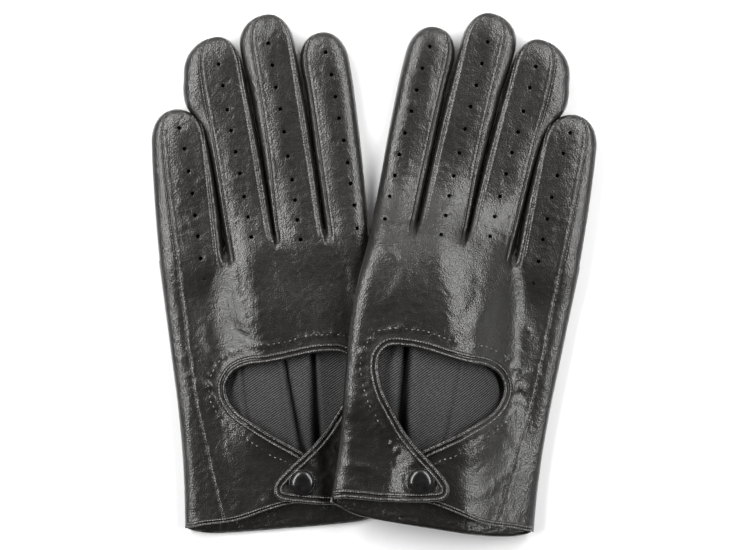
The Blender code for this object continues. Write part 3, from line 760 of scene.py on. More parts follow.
def blended_normals(glove, points, only):
    """True normals over the top; below the outline, the same ones turned to face down."""
    out = true_normals(glove, points, only)
    uv = glove.to_flat(points)
    level = glove.place(uv, mid_height(uv, only))[:, 2]
    under = points[:, 2] < level - 0.0002
    down = out * (1, 1, -1)
    down[:, 2] = -np.abs(down[:, 2])
    out[under] = down[under]
    return out


def on_foot_line(glove, name, points):
    """Which world points lie on the line where a finger's piece starts."""
    s, a = to_finger(name, glove.to_flat(points))
    low, high = finger_edges(name, s)
    return (np.abs(s - FINGERS[name]["foot"]) < 0.02) & (a > low - 0.1) & (a < high + 0.1)


def finger_leather(glove, name):
    """One finger's leather from the crotch line to the tip, over and under, with its holes."""
    stations = finger_stations(name)
    columns = finger_columns(name, stations)
    rows, count = columns.shape
    points = np.column_stack([np.repeat(stations, count), columns.ravel()])
    grid = points.reshape(rows, count, 2)
    outline = np.vstack([grid[0], grid[1:, -1], grid[-1, -2:0:-1], grid[:0:-1, 0]])
    holes = [circle(c, HOLE_RADIUS) for c in FINGERS[name]["holes"] if c[0] > FINGERS[name]["foot"] + 1.2]
    over, faces = triangulated(points, outline, holes, 0.3)
    uv = to_glove(name, over[:, 0], over[:, 1])
    top = glove.place(uv, over_height(uv, glove.side, name))
    uv = to_glove(name, points[:, 0], points[:, 1])
    under = glove.place(uv, hand_surface(uv, False, name))
    under_faces = facing(under, triangles(grid_faces(rows, count)), False)
    faces = np.vstack([facing(top, faces, True), under_faces + len(top)])
    return leather_skin(glove.name(name + "_finger"), np.vstack([top, under]), faces, LEATHER,
                        lambda p: blended_normals(glove, p, name), lambda p: on_foot_line(glove, name, p))


def foot_line(name):
    """The finger's first row of points, from its thumb side to its little-finger side."""
    foot = np.array([FINGERS[name]["foot"]])
    across = finger_columns(name, foot)[0]
    return to_glove(name, np.full(len(across), foot[0]), across)


def side_stations(low, high):
    """Places up a side fold, the same ones above the hem for the back and the palm."""
    return [low] + [float(v) for v in np.arange(math.ceil(low + 0.3), high, 1.0)]


# Where the hem meets the hand's two sides, and the places between them.
CUFF_ENDS = (-49.3, 45.6)
HEM_US = np.arange(-48.3, 45.2, 1.0)


def hand_outline(hem):
    """The hand's outline: the hem, the little-finger side, the finger roots, the thumb side."""
    def side(table, cuff_u, top):
        return [(value(table, v), v) for v in side_stations(value(hem, cuff_u), top - 0.6)]

    feet = [foot_line(name) for name in ORDER]
    low = [(u, value(hem, u)) for u in HEM_US]
    right = side(LITTLE_SIDE, CUFF_ENDS[1], feet[-1][-1][1])
    left = side(THUMB_SIDE, CUFF_ENDS[0], feet[0][0][1])
    roots = [tuple(p) for line in feet[::-1] for p in line[::-1]]
    return np.array(low + right + roots + left[::-1])


def hand_points():
    """Points inside the hand: an even field, closer near the outline and the roots."""
    rows = []
    for v in np.arange(-3.0, 122.0, 1.15):
        left, right = value(THUMB_SIDE, v), value(LITTLE_SIDE, v)
        near = np.array([0.18, 0.55, 1.1, 1.9, 2.9, 4.1, 5.4])
        us = np.concatenate([left + near, np.arange(left + 6.7, right - 6.2, 1.15), right - near[::-1]])
        rows.append(np.column_stack([us, np.full(len(us), v)]))
    for name in ORDER:
        foot = FINGERS[name]["foot"]
        start = -18.0 if name != "little" else -17.0
        for s in np.arange(foot - 1.0, start - 0.1, -1.0):
            across = finger_columns(name, np.array([s]))[0][1:-1]
            rows.append(to_glove(name, np.full(len(across), s), across))
    return np.vstack(rows)


def hand_leather(glove):
    """The trank: back and palm, joined at the outline, open at the cuff and the fingers."""
    points = hand_points()
    holes = [KEYHOLE_CUT]
    for name in ORDER:
        for s, a in FINGERS[name]["holes"]:
            if s < FINGERS[name]["foot"]:
                centre = to_glove(name, np.array([s]), np.array([a]))[0]
                holes.append(circle(centre, HOLE_RADIUS))
    over, faces = open_slit(points, hand_outline(BACK_HEM), holes)
    top = glove.place(over, glove.back(over))
    under, under_faces = triangulated(points, hand_outline(PALM_HEM), ())
    bottom = glove.place(under, hand_surface(under, False) + palm_creases(under, glove.side))
    faces = np.vstack([facing(top, faces, True), facing(bottom, under_faces, False) + len(top)])

    def joints(p):
        found = np.zeros(len(p), bool)
        for name in ORDER:
            found |= on_foot_line(glove, name, p)
        uv = glove.to_flat(p)
        above = p[:, 2] > glove.place(uv, 5.0 + 0 * uv[:, 0])[:, 2]
        return found | (np.abs(uv[:, 0] - STRAP_ROOT_U) < 0.02) & (uv[:, 1] < 47) & above

    return leather_skin(glove.name("hand"), np.vstack([top, bottom]), faces, LEATHER,
                        lambda p: blended_normals(glove, p, None), joints)


def palm_creases(uv, side):
    soft = fbm(layered(uv, side, (21.0, 31.0)), 20.0, 3, (1.0, 1.0, 1.0), 6.6)
    return np.clip(edge_share(uv), 0, 1) * np.clip(0.5 * soft, -0.1, 0.8)


def open_slit(points, outline, holes):
    """The back's region: the opening's slit runs out through the hem, so it joins the outline."""
    def above_hem(loop):
        return loop[:, 1] > lookup(BACK_HEM, loop[:, 0]) + 0.4

    clear = above_hem(holes[0])
    ring = np.roll(holes[0], -int(np.argmax(clear & np.roll(~clear, 1))), axis=0)
    ring = ring[above_hem(ring)]
    if abs(ring[0][0] - STRAP_ROOT_U) >= abs(ring[-1][0] - STRAP_ROOT_U):
        ring = ring[::-1]
    hem, rest = outline[:len(HEM_US)], outline[len(HEM_US):]
    left = [p for p in hem if p[0] < STRAP_ROOT_U - 0.3] + [(STRAP_ROOT_U, value(BACK_HEM, STRAP_ROOT_U))]
    right = [(SLIT_U, value(BACK_HEM, SLIT_U))] + [p for p in hem if p[0] > SLIT_U + 0.3]
    return triangulated(points, np.vstack([left, ring, right, rest]), holes[1:])


# ---------------------------------------------------------------- bands, stitches

# Section of a bound edge: distance across it from the cut edge, and height.  Then where its
# two lines of stitches lie, and the ripple's length along it.
BAND = (
    (-0.35, -1.2), (-0.6, -0.4), (-0.5, 0.3), (-0.15, 0.8), (0.35, 0.98), (0.85, 0.78),
    (1.2, 0.3), (1.45, -0.2),
    (1.7, -0.15), (1.95, 0.4), (2.4, 0.8), (2.9, 0.6), (3.2, 0.2), (3.35, -0.2), (3.35, -0.6),
)
BAND_SEWN = (0.45, 2.4)
RIPPLE_PITCH = 2.6


def path_normals(path):
    """Unit sideways direction at each point of a path, to the left as one walks it."""
    run = np.gradient(path, axis=0)
    run /= np.maximum(np.linalg.norm(run, axis=1, keepdims=True), 1e-9)
    return np.column_stack([-run[:, 1], run[:, 0]])


def band(glove, name, path, normals, level, profile=BAND, width=1.0, ripple=0.10, start=0):
    """A folded, stitched edge swept along a path; level gives the height it lies on."""
    along = (start + np.arange(len(path))) * EDGE_STEP
    rows = []
    for d, h in profile:
        uv = path + normals * d * width
        bumps = ripple * np.sin(along * 2 * math.pi / RIPPLE_PITCH + d)
        bumps = bumps * (0.4 + 0.6 * np.sin(along / 7.0 + 1.7 * d))
        z = level(uv if d > 0 else path) + h + bumps * max(h, 0.0)
        rows.append(glove.place(uv, z))
    points = np.stack(rows, axis=1).reshape(-1, 3)
    count = len(profile)
    faces = grid_faces(len(path), count)
    total = len(points)
    ends = [tuple(range(total, total + count)), tuple(range(total + 2 * count - 1, total + count - 1, -1))]
    points = np.vstack([points, points[:count], points[-count:]])
    closing = [(i * count + count - 1, i * count, (i + 1) * count, (i + 1) * count + count - 1)
               for i in range(len(path) - 1)]
    return turned_outward(make(glove.name(name), points, faces + closing + ends, EDGE))


def band_runs(path, normals, level, width=1.0, pitch=1.15):
    """Stitch lines on top of a bound edge's two ridges."""
    both = even(np.column_stack([path, normals]), pitch)
    path, normals = both[:, :2], both[:, 2:]
    runs = []
    across, heights = zip(*BAND[3:13])
    for d in BAND_SEWN:
        uv = path + normals * d * width
        top = np.interp(d, across, heights)
        runs.append((uv, level(uv) + top + 0.04))
    return runs


# Rings of one stitch: place along it and share of its radius.  Then the sides of a ring and
# the shortest and longest distance between two holes that thread spans.
STITCH_RINGS = ((-0.5, 0.35), (-0.38, 0.85), (0.0, 1.0), (0.38, 0.85), (0.5, 0.35))
STITCH_SIDES = 6
STITCH_SPAN = (0.2, 4.0)


def stitches(glove, name, runs, radius=0.17, fill=0.72):
    """Thread dashes: each run is flat places and heights, spaced one stitch apart."""
    points, faces = [], []
    walls = grid_faces(len(STITCH_RINGS), STITCH_SIDES, ring=True)
    last = (len(STITCH_RINGS) - 1) * STITCH_SIDES
    caps = [tuple(range(STITCH_SIDES))[::-1], tuple(range(last, last + STITCH_SIDES))]
    for uv, z in runs:
        place = glove.place(uv, z) / MM
        for a, b in zip(place, place[1:]):
            centre, run = (a + b) / 2, b - a
            length = np.linalg.norm(run)
            if length < STITCH_SPAN[0] or length > STITCH_SPAN[1]:
                continue
            run = run / length
            uneven = noise.noise(Vector(centre * 0.9))
            centre = centre + (0.0, 0.0, 0.10 * uneven)
            side = np.cross(run, (0, 0, 1.0))
            side /= max(np.linalg.norm(side), 1e-6)
            up = np.cross(side, run)
            start = len(points)
            for t, size in STITCH_RINGS:
                ring = centre + run * t * length * fill - up * 0.12 * (abs(t) * 2) ** 2
                for k in range(STITCH_SIDES):
                    angle = 2 * math.pi * k / STITCH_SIDES
                    reach = radius * size * (1.0 + 0.6 * uneven)
                    points.append(ring + reach * (side * math.cos(angle) + up * math.sin(angle)))
            faces += [tuple(start + k for k in face) for face in walls + caps]
    return make(glove.name(name), np.array(points) * MM, faces, THREAD)


FINGER_PITCH = 1.35


def finger_runs(name):
    """Stitch lines along a finger's back seams; the index finger has one seam and one line."""
    finger = FINGERS[name]
    s = np.arange(finger["foot"] + 1.0, finger["length"] - 3.0, FINGER_PITCH)
    near, far = finger_seams(name, s)
    if name == "index":
        return [(s, far - 0.75)]
    return [(s, far - 0.75), (s, far + 0.85), (s, near + 0.75), (s, near - 0.35)]


# ---------------------------------------------------------------- materials

def nodes_for(name):
    """A new material, its node tree and its shader."""
    made = bpy.data.materials.new(name)
    made.use_nodes = True
    tree = made.node_tree
    return made, tree, tree.nodes["Principled BSDF"]


def link(tree, a, out, b, into):
    tree.links.new(a.outputs[out], b.inputs[into])


def ramp(tree, low, high, start, end):
    made = tree.nodes.new("ShaderNodeValToRGB")
    for element, colour, place in zip(made.color_ramp.elements, (low, high), (start, end)):
        element.position = place
        element.color = colour
    return made


def grey(value, warm=0.0):
    """A grey, made warmer by a share of red taken from blue."""
    return (value * (1 + warm), value, value * (1 - warm), 1.0)


def preset(made, **inputs):
    """Sets inputs of a node; an underscore stands for a space."""
    for key, setting in inputs.items():
        made.inputs[key.replace("_", " ")].default_value = setting
    return made


def node(tree, kind, **inputs):
    return preset(tree.nodes.new("ShaderNode" + kind), **inputs)


def texture(tree, kind, **inputs):
    """A texture that lies on the object's own coordinates."""
    made = node(tree, "Tex" + kind, **inputs)
    link(tree, node(tree, "TexCoord"), "Object", made, "Vector")
    return made


def shaded(tree, source, out, *colours):
    """A node's value read as a colour between two."""
    made = ramp(tree, *colours)
    link(tree, source, out, made, "Fac")
    return made


def combined(tree, operation, a, out_a, b, out_b):
    made = node(tree, "Math")
    made.operation = operation
    link(tree, a, out_a, made, 0)
    link(tree, b, out_b, made, 1)
    return made


def leather_material(name, dark, light, rough, grain=0.5, wrinkle=0.7):
    """Smooth black lambskin: fine pores, faint wrinkles, uneven sheen."""
    made, tree, shader = nodes_for(name)
    patch = texture(tree, "Noise", Scale=60.0, Detail=4.0)
    colour = shaded(tree, patch, "Fac", grey(dark, 0.12), grey(light, 0.12), 0.3, 0.75)
    link(tree, colour, "Color", shader, "Base Color")
    gloss = node(tree, "MapRange", To_Min=rough - 0.07, To_Max=rough + 0.09)
    link(tree, patch, "Fac", gloss, "Value")
    link(tree, gloss, "Result", shader, "Roughness")
    pores = texture(tree, "Voronoi", Scale=1500.0)
    lines = texture(tree, "Noise", Scale=500.0, Detail=3.0, Distortion=0.6)
    skin = combined(tree, "ADD", pores, "Distance", lines, "Fac")
    folds = texture(tree, "Noise", Scale=230.0, Detail=5.0)
    folds.noise_type = "RIDGED_MULTIFRACTAL"
    coarse = node(tree, "Bump", Strength=wrinkle, Distance=0.0004)
    link(tree, folds, "Fac", coarse, "Height")
    bump = node(tree, "Bump", Strength=grain, Distance=0.0002)
    link(tree, skin, "Value", bump, "Height")
    link(tree, coarse, "Normal", bump, "Normal")
    sheen = node(tree, "MapRange", From_Min=0.3, From_Max=0.7, To_Min=0.27, To_Max=0.34)
    link(tree, lines, "Fac", sheen, "Value")
    link(tree, sheen, "Result", shader, "Coat Roughness")
    for normal in ("Normal", "Coat Normal"):
        link(tree, bump, "Normal", shader, normal)
    preset(shader, Specular_IOR_Level=0.1, Specular_Tint=grey(1.0, 0.05), Coat_Weight=1.0)
    return made


def twill_material():
    """Dark grey twill: diagonal ribs with a fine thread pattern, its colour multiplied by painted shade
    read from the colour attribute named shade.
    """
    made, tree, shader = nodes_for("twill_lining")
    turn = node(tree, "Mapping", Rotation=(0, 0, math.radians(55)))
    link(tree, node(tree, "TexCoord"), "Object", turn, "Vector")
    ribs = node(tree, "TexWave", Scale=330.0, Distortion=0.6, Detail=2.0, Detail_Scale=2.0)
    link(tree, turn, "Vector", ribs, "Vector")
    shade = combined(tree, "MULTIPLY", ribs, "Fac", texture(tree, "Noise", Scale=1400.0), "Fac")
    # Painted shade: the colour attribute named shade darkens the twill along the bottom of the lining's
    # folds.
    painted_fold_shade = node(tree, "VertexColor")
    painted_fold_shade.layer_name = "shade"
    painted_shade_mix = node(tree, "MixRGB", Fac=1.0)
    painted_shade_mix.blend_type = "MULTIPLY"
    colour = shaded(tree, shade, "Value", grey(0.012), grey(0.080), 0.08, 0.5)
    link(tree, colour, "Color", painted_shade_mix, "Color1")
    link(tree, painted_fold_shade, "Color", painted_shade_mix, "Color2")
    link(tree, painted_shade_mix, "Color", shader, "Base Color")
    bump = node(tree, "Bump", Strength=0.6, Distance=0.0003)
    link(tree, shade, "Value", bump, "Height")
    link(tree, bump, "Normal", shader, "Normal")
    preset(shader, Roughness=0.8, Specular_IOR_Level=0.08)
    return made


def speckled(name, scale, colours, **look):
    """A finely speckled material, its colour running between two."""
    made, tree, shader = nodes_for(name)
    colour = shaded(tree, texture(tree, "Noise", Scale=scale), "Fac", *colours)
    link(tree, colour, "Color", shader, "Base Color")
    preset(shader, **look)
    return made


BACK = leather_material("back_leather", 0.003, 0.008, 0.50)
EDGE = leather_material("binding_leather", 0.003, 0.008, 0.50, 0.6)
THREAD = speckled("thread", 900.0, (grey(0.05, 0.03), grey(0.30, 0.05), 0.38, 0.68),
                  Roughness=0.5, Sheen_Weight=0.4)
TWILL = twill_material()
LACQUER = speckled("snap_lacquer", 300.0, (grey(0.004), grey(0.010), 0.4, 0.7),
                   Roughness=0.2, Specular_IOR_Level=0.4)
METAL = speckled("snap_steel", 800.0, (grey(0.25), grey(0.5), 0.3, 0.7), Metallic=1.0, Roughness=0.35)


# ---------------------------------------------------------------- strap, lining, snap

def strap_level(uv, side):
    """The height the strap's upper face lies on."""
    share = smooth(uv[:, 0], *STRAP_RISE)
    flat = 2 * WRIST_HALF + HAND_PUFF + STRAP_CLEAR + STRAP_THICK - STRAP_SINK
    folds = creases(uv, side) * 0.45
    return over_height(uv, side) * (1 - share) + (flat + folds) * share


def strap_leather(glove):
    """The strap's sheet inside its bound edge, pressed in round the snap."""
    inner = STRAP_EDGE[1:-1]
    root = np.array([(STRAP_ROOT_U, v) for v in np.arange(inner[-1, 1] - 0.3, inner[0, 1] + 0.3, -0.8)])
    outline = np.vstack([inner, root])
    field = np.array([(u, v) for u in np.arange(-27.5, 2.5, 0.9) for v in np.arange(6.5, 47.0, 0.9)])
    points, faces = triangulated(field, outline, (), 0.4)
    gap = np.hypot(points[:, 0] - SNAP[0], points[:, 1] - SNAP[1])
    level = strap_level(points, glove.side) - 0.5 * bell(gap, 6.6, 1.5)
    placed = glove.place(points, level)

    def at_root(p):
        return np.abs(glove.to_flat(p)[:, 0] - STRAP_ROOT_U) < 0.02

    return leather_skin(glove.name("strap"), placed, facing(placed, faces, True), STRAP_THICK,
                        lambda p: true_normals(glove, p), at_root)


TUBE_SIDES = 48


def tube(name, rings, gap, finish):
    """A closed piece through rings of TUBE_SIDES points."""
    quads = grid_faces(len(rings), TUBE_SIDES, ring=True)
    points, faces = welded(np.vstack(rings), triangles(quads), gap)
    return turned_outward(make(name, points, faces, finish))


# Lengthwise folds of the lining in the opening: where each crosses v = 55, its slant, half
# width, depth and the height of the roll beside it.  The depth also sets how dark the
# painted shade along the bottom of the fold is.
LINING_FOLDS = {
    "right": ((-23.8, -0.09, 1.7, 3.6, 1.6), (-1.8, 0.02, 0.6, 0.8, 0.5), (-33.0, 0.0, 2.0, 0.5, 0.4)),
    "left": ((-19.5, -0.04, 1.5, 2.6, 1.8), (-9.0, 0.10, 1.2, 2.2, 1.5), (12.5, 0.02, 0.9, 0.8, 0.7)),
}


def lining_height(uv, side):
    """The palm's lining, seen through the opening, with its lengthwise folds, and a painted shade factor
    that darkens the twill along the bottom of each fold.
    """
    soft = fbm(layered(uv, side, (41.0, 51.0)), 15.0, 2, (0.6, 2.6, 1.0), 1.2)
    z = 4.3 + 0.7 * soft
    # Painted shade: 1 where the twill keeps its colour, less along the bottom of each fold.
    dark = np.ones(len(uv))
    for centre, slope, width, depth, roll in LINING_FOLDS[side]:
        spread = width * (1.0 + 0.5 * smooth(70 - uv[:, 1], 0, 30))
        d = uv[:, 0] - centre - slope * (uv[:, 1] - 55.0) - 0.5 * soft
        z += roll * bell(d, spread * 2.0, spread * 1.7)
        z -= depth * np.exp(-(d / spread) ** 4)
        dark -= min(depth / 3.0, 1.0) * np.exp(-(d / spread) ** 6)
    return np.clip(z, 1.6, 6.4), np.clip(dark, 0.03, 1)


def thicken(sheet, depth):
    """Gives a sheet a thickness in millimetres."""
    thick = sheet.modifiers.new("thickness", "SOLIDIFY")
    thick.thickness = depth * MM
    thick.offset = -1.0


def attach(glove, piece, slot, body, *nodes):
    """The piece's material slot, which is not used, the body it rides on and the CAD nodes it stands for.
    """
    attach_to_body(piece, glove.name(body))
    if nodes:
        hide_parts(*(glove.name(node) for node in nodes))


def lining_sheet(glove, name, points, faces, z, shade, *nodes):
    """A sheet of twill; shade, a painted shade factor, darkens its colour point by point."""
    made = make(glove.name(name), glove.place(points, z), faces, TWILL)
    # Painted shade for the folds, stored as a colour attribute that the twill multiplies in.
    painted_shade_layer = made.data.color_attributes.new("shade", "FLOAT_COLOR", "POINT")
    values = np.repeat(np.asarray(shade, float)[:, None], 4, axis=1)
    values[:, 3] = 1.0
    painted_shade_layer.data.foreach_set("color", values.ravel())
    thicken(made, 0.4)
    attach(glove, made, "lining_cloth", "hand", *nodes)


# The lining's sides, and its ends towards the cuff and the fingers.
LINING_SIDES = (-45.0, 41.0)
LINING_ENDS = (15.0, 122.0)


def hand_lining(glove):
    """Palm-side lining, and the lining that backs the leather round the opening."""
    rows, columns = np.arange(14.0, 128.0, 1.0), np.linspace(0.0, 1.0, 96)
    uv = []
    for v in rows:
        left, right = value(THUMB_SIDE, v) + 1.8, value(LITTLE_SIDE, v) - 1.8
        uv.append(np.column_stack([left + (right - left) * columns, np.full(len(columns), v)]))
    uv = np.vstack(uv)
    share = np.clip(edge_share(uv) * 3.0 - 1.8, 0, 6.0) / 6.0
    low, shade = lining_height(uv, glove.side)
    z = np.minimum(low, hand_surface(uv, True) - 2.6) * share + mid_height(uv) * (1 - share)
    faces = grid_faces(len(rows), len(columns))
    lining_sheet(glove, "lining_palm", uv, faces, z, shade, "hand_lining")
    (west, east), (south, north) = LINING_SIDES, LINING_ENDS
    ring = [(u, south) for u in np.arange(west, east, 1.5)]
    ring += [(east, v) for v in np.arange(south, north, 1.5)]
    ring += [(u, north) for u in np.arange(east, west, -1.5)]
    ring += [(west, v) for v in np.arange(north, south, -1.5)]
    points, faces = triangulated(uv, np.array(ring), [grown(closed_cut(), 0.5)])
    z = hand_surface(points, True) - 1.5
    lining_sheet(glove, "lining_back", points, faces, z, np.ones(len(points)))


FACING_TOP = 15.0


def cuff_facing(glove):
    """The leather facing inside the palm at the cuff, with its puckered, sewn edge."""
    us = np.arange(-46.5, 43.6, 0.45)
    ts = np.linspace(0.0, 1.0, 26)
    low = lookup(PALM_HEM, us)
    points = np.vstack([np.column_stack([us, low + 0.3 + (FACING_TOP - low) * t]) for t in ts])
    flat = layered(points, glove.side, (71.0, 81.0))
    above = points[:, 1] - lookup(PALM_HEM, points[:, 0])
    soft = fbm(flat, 12.0, 2, (1.0, 1.0, 1.0), 2.2)
    fine = fbm(flat, 2.6, 2, (1.0, 0.35, 1.0), 9.2)
    pucker = bell(above, 2.6, 1.8) * (0.45 * fine - 0.3 * bell(above, 2.2, 0.4))
    z = 1.5 + 0.9 * smooth(above, 0.0, 2.2) + 0.5 * soft + pucker
    z = hand_surface(points, False) + np.clip(z, 1.1, 3.4) * np.clip(edge_share(points), 0, 1)
    faces = grid_faces(len(ts), len(us))
    made = make(glove.name("cuff_facing"), glove.place(points, z), faces, EDGE)
    thicken(made, 0.5)
    return made


def grown(loop, amount):
    """The loop moved outward by an amount."""
    loop = np.asarray(loop, float)
    run = np.roll(loop, -1, axis=0) - np.roll(loop, 1, axis=0)
    run /= np.maximum(np.linalg.norm(run, axis=1, keepdims=True), 1e-9)
    out = np.column_stack([run[:, 1], -run[:, 0]])
    if ((loop - loop.mean(axis=0)) * out).sum() < 0:
        out = -out
    return loop + out * amount


def closed_cut():
    """The opening with the slit closed off above the hem, for the lining."""
    loop = KEYHOLE_CUT.copy()
    loop[:, 1] = np.maximum(loop[:, 1], 17.0)
    keep = [loop[0]]
    for p in loop[1:]:
        if np.linalg.norm(p - keep[-1]) > 0.3:
            keep.append(p)
    return np.array(keep)


# The snap's cap: its rolled rim as (radius, height above the strap), then its dome.
CAP_RIM = ((0.0, -0.1), (6.1, -0.1), (6.3, 0.25), (6.2, 0.7), (5.85, 0.95), (5.5, 0.85))
CAP_DOME = 1.3
CAP_RADIUS = 5.3


def snap(glove):
    """The snap's cap, turned on its centre line."""
    top = 2 * WRIST_HALF + HAND_PUFF - STRAP_SINK + STRAP_CLEAR + STRAP_THICK
    cap = [(radius, top + height) for radius, height in CAP_RIM]
    for out in np.sin(np.linspace(math.pi / 2, 0.0, 16)):
        cap.append((CAP_RADIUS * out, top + 0.75 + CAP_DOME * (1.0 - out ** 3.2)))
    rings = []
    for radius, height in cap:
        ring = glove.place(circle(SNAP, radius, TUBE_SIDES), 0.0)
        ring[:, 2] = glove.place([SNAP], height)[0][2]
        rings.append(ring)
    piece = tube(glove.name("snap_button"), rings, 1e-6, LACQUER)
    attach(glove, piece, "snap_enamel", "strap", "snap_cap")


# The folded thumb, under the palm.
THUMB_ROOT = (-41.0, 60.0)
THUMB_LEAN = 45.0
THUMB_LENGTH = 46.0
THUMB_HALF_WIDTH = 11.0
THUMB_HALF = 2.4
THUMB_TIP = 14.0


def thumb(glove):
    """The thumb: a flattened tube with a rounded tip."""
    turn = math.radians(THUMB_LEAN)
    ahead = np.array((math.sin(turn), math.cos(turn)))
    across = np.array((math.cos(turn), -math.sin(turn)))
    straight = THUMB_LENGTH - THUMB_TIP
    ss = np.concatenate([np.linspace(0.0, straight, 34), straight + THUMB_TIP * tip_steps(16)])
    angles = np.arange(TUBE_SIDES) * 2 * math.pi / TUBE_SIDES
    c, d = np.cos(angles), np.sin(angles)
    rings = []
    for s in ss:
        scale = tip_round(s, THUMB_LENGTH, THUMB_TIP)
        a = THUMB_HALF_WIDTH * scale * np.sign(c) * np.abs(c) ** 0.85
        z = 0.4 + THUMB_HALF + THUMB_HALF * scale ** 0.7 * np.sign(d) * np.abs(d) ** 0.7
        uv = np.array(THUMB_ROOT) + s * ahead + a[:, None] * across
        z = z + 0.10 * fbm(layered(uv, glove.side, (61.0, 61.0)), 9.0, 2, (1, 1, 1), 4.0)
        rings.append(glove.place(uv, z, lifted=False))
    made = tube(glove.name("thumb_skin"), rings, 0.00002, BACK)
    thicken(made, 0.8)
    attach(glove, made, "back_leather", "thumb", "thumb_leather", "thumb_lining")


# ---------------------------------------------------------------- each glove

# How far along a finger, and along the strap, bend() and fold() take their second point.
BEND_LENGTH = 26.0
FOLD_LENGTH = 12.5


def bend(glove, piece, name):
    """Bakes the piece's placement into its points; the hand's and the finger's places worked out here are
    not used.
    """
    foot = FINGERS[name]["foot"]
    ends = to_glove(name, np.array([foot, foot + BEND_LENGTH]), np.zeros(2))
    world = glove.place(ends, np.full(2, FINGER_HALF), lifted=False)
    world[:, 2] = world[:, 2].mean()
    glove.name("hand")
    glove.name(name + "_finger")
    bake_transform(piece)


def fold(glove, piece):
    """Bakes the piece's placement into its points; the hand's and the strap's places worked out here are
    not used.
    """
    world = glove.place([(STRAP_ROOT_U, 24.0), (STRAP_ROOT_U + FOLD_LENGTH, 24.0)], 9.0)
    glove.name("hand")
    glove.name("strap")
    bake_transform(piece)


def fingers(glove):
    """The four fingers' leather and their seams' stitches."""
    for name in ORDER:
        piece = finger_leather(glove, name)
        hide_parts(*(n for n in frame["nodes"] if n.startswith(glove.name(name + "_"))))
        bend(glove, piece, name)
        runs = []
        for s, a in finger_runs(name):
            uv = to_glove(name, s, a)
            runs.append((uv, over_height(uv, glove.side, name) + 0.05))
        sewn = stitches(glove, name + "_stitches", runs, radius=0.13)
        bend(glove, sewn, name)


def hem_path(table, low, high):
    return even(np.array([(u, value(table, u)) for u in np.arange(low, high, 0.7)]), EDGE_STEP)


# How wide the bound edges and the two hems are against the section drawn above.
EDGE_WIDTH = 1.12
HEM_WIDTH = 0.62
PALM_HEM_WIDTH = 0.5


def edges(glove):
    """Bound edges, hems and the cuff's facing, with their stitches, and the strap."""
    def strap(uv):
        return strap_level(uv, glove.side)

    def palm(uv):
        return hand_surface(uv, False) + 0.9

    def edge(name, path, normals, level, width, start=0):
        piece = band(glove, name, path, normals, level, width=width, start=start)
        return piece, band_runs(path, normals, level, width)

    def part(name, level, first, last=None):
        return edge(name, BOUND_EDGE[first:last], bound[first:last], level, EDGE_WIDTH, first)

    bound = path_normals(BOUND_EDGE)
    hem, low = hem_path(BACK_HEM, -14.0, 44.4), hem_path(PALM_HEM, -47.4, 44.4)
    thumb_hem, runs = part("thumb_hem_edge", glove.back, 0, LOW_ROOT + 1)
    opening, more = part("opening_edge", glove.back, TOP_ROOT)
    little_hem, most = edge("hem_edge", hem, path_normals(hem), glove.back, HEM_WIDTH)
    palm_hem, _ = edge("palm_hem_edge", low, path_normals(low), palm, PALM_HEM_WIDTH)
    facing_sheet = cuff_facing(glove)
    sewn = stitches(glove, "edge_stitches", runs + more + most)
    attach(glove, thumb_hem, "binding_leather", "hand")
    attach(glove, opening, "binding_leather", "hand", "keyhole_binding")
    attach(glove, little_hem, "binding_leather", "hand", "back_hem")
    attach(glove, palm_hem, "binding_leather", "hand", "palm_hem")
    attach(glove, facing_sheet, "binding_leather", "hand")
    attach(glove, sewn, "binding_leather", "hand")

    leather = strap_leather(glove)
    rim, runs = part("strap_edge", strap, LOW_ROOT, TOP_ROOT + 1)
    sewn = stitches(glove, "strap_stitches", runs)
    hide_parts(glove.name("strap_tab"))
    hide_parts(glove.name("strap_binding"))
    for piece, slot in ((leather, "back_leather"), (rim, "binding_leather"), (sewn, "binding_leather")):
        fold(glove, piece)


# Section of the outseam's raised welt, and how far from the bound edge and how far apart
# the tacks lie.
WELT = ((-0.5, -0.5), (-0.42, 0.0), (-0.25, 0.30), (0.0, 0.40), (0.25, 0.30), (0.42, 0.0),
        (0.5, -0.5))
TACK_GAP = 7.6
TACK_PITCH = 2.5


def tack_runs(level):
    """Where the small tacks that hold the lining round the opening show on the leather."""
    normals = path_normals(OPENING_EDGE)
    line = even(OPENING_EDGE + normals * TACK_GAP, TACK_PITCH)
    wander = fbm(np.column_stack([line, np.zeros(len(line))]), 6.0, 2)
    line = line + path_normals(line) * wander[:, None] * 0.9
    return [(line, level(line) + 0.1)]


def outseam(glove):
    """The raised seam up the little-finger side with its stitches, and the opening's tacks."""
    path = even(OUTSEAM_LINE[6:], 1.4)
    uv = path + np.array((-0.9, 0.0))
    sewn = stitches(glove, "outseam_stitches", [(uv, glove.back(uv) + 0.03)], radius=0.12)
    line = even(OUTSEAM_LINE[1:], EDGE_STEP)
    welt = band(glove, "outseam_welt", line, path_normals(line), glove.back, WELT, ripple=0.05)
    tacks = stitches(glove, "opening_tacks", tack_runs(glove.back), radius=0.2, fill=0.4)
    for piece in (sewn, welt, tacks):
        attach(glove, piece, "seam_leather", "hand")


def build(side):
    """One glove: its pieces, and the metal of the CAD parts that are kept."""
    glove = Glove(side)
    attach(glove, hand_leather(glove), "back_leather", "hand", "trank")
    fingers(glove)
    edges(glove)
    outseam(glove)
    hand_lining(glove)
    snap(glove)
    thumb(glove)
    for node in ("snap_socket", "snap_stud", "snap_post"):
        cad = frame["nodes"][glove.name(node)]
        cad.data.materials.clear()
        cad.data.materials.append(METAL)


for glove_side in SIDES:
    build(glove_side)


# ---------------------------------------------------------------- stage

# The camera looks straight down at VIEW_CENTRE, millimetres, and sees VIEW_WIDTH across.
VIEW_CENTRE = (0.45, 1.3, 8.0)
VIEW_WIDTH = 345.0
LENS = 85.0
SENSOR = 36.0
FLOOR_SIZE = 3.0
FLOOR_DROP = 0.0006

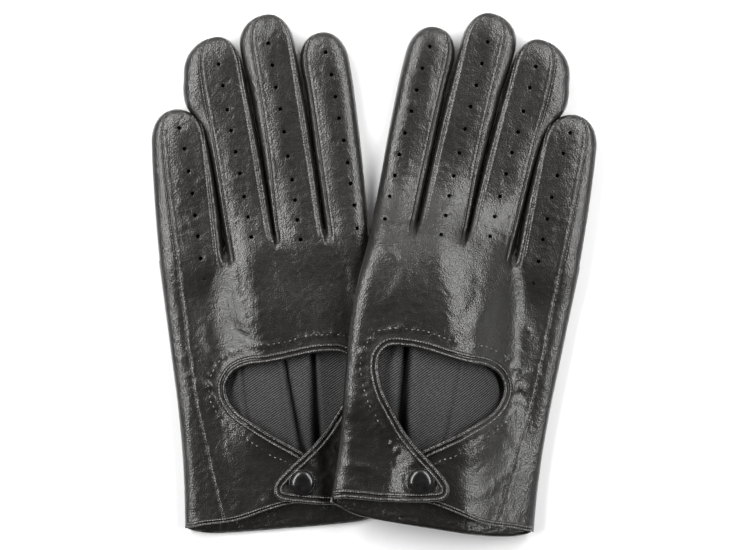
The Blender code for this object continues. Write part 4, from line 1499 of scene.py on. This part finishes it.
# Grey of the surroundings at the sides and overhead.  Each light, aimed at the gloves: place
# in metres, level size, upright size and power.
WORLD_SIDE = 0.16
WORLD_TOP = 0.09
LIGHTS = (
    ("left_box", (-0.53, 0.22, 0.59), 1.1, 0.16, 11.0),
    ("right_box", (0.53, 0.22, 0.59), 1.1, 0.16, 9.5),
    ("far_box", (0.0, 0.8, 0.5), 1.6, 0.4, 3.0),
)


def stage():
    mesh = bpy.data.meshes.new("floor")
    h = FLOOR_SIZE / 2
    corners = [(x * h, y * h, -FLOOR_DROP) for x, y in ((-1, -1), (1, -1), (1, 1), (-1, 1))]
    mesh.from_pydata(corners, [], [(0, 1, 2, 3)])
    floor = bpy.data.objects.new("floor", mesh)
    bpy.context.scene.collection.objects.link(floor)
    pale, tree, shader = nodes_for("pale_floor")
    preset(shader, Base_Color=grey(0.8), Roughness=0.9)
    mesh.materials.append(pale)
    world = bpy.data.worlds.new("studio") if not bpy.data.worlds else bpy.data.worlds[0]
    bpy.context.scene.world = world
    world.use_nodes = True
    tree = world.node_tree
    parts = node(tree, "SeparateXYZ")
    link(tree, node(tree, "TexCoord"), "Generated", parts, "Vector")
    sky = shaded(tree, parts, "Z", grey(WORLD_SIDE), grey(WORLD_TOP), 0.35, 0.9)
    link(tree, sky, "Color", tree.nodes["Background"], "Color")
    for name, place, level, upright, power in LIGHTS:
        light = bpy.data.lights.new(name, "AREA")
        light.shape = "RECTANGLE"
        light.size = level
        light.size_y = upright
        light.energy = power
        lamp = bpy.data.objects.new(name, light)
        lamp.location = place
        lamp.rotation_euler = (-Vector(place)).to_track_quat("-Z", "Y").to_euler()
        bpy.context.scene.collection.objects.link(lamp)
    lens = bpy.data.cameras.new("camera")
    lens.lens = LENS
    lens.sensor_width = SENSOR
    lens.clip_start = 0.01
    camera = bpy.data.objects.new("camera", lens)
    away = VIEW_WIDTH * LENS / SENSOR
    camera.location = (VIEW_CENTRE[0] * MM, VIEW_CENTRE[1] * MM, (VIEW_CENTRE[2] + away) * MM)
    bpy.context.scene.collection.objects.link(camera)
    bpy.context.scene.camera = camera
    bpy.context.scene.view_settings.view_transform = "Standard"


stage()
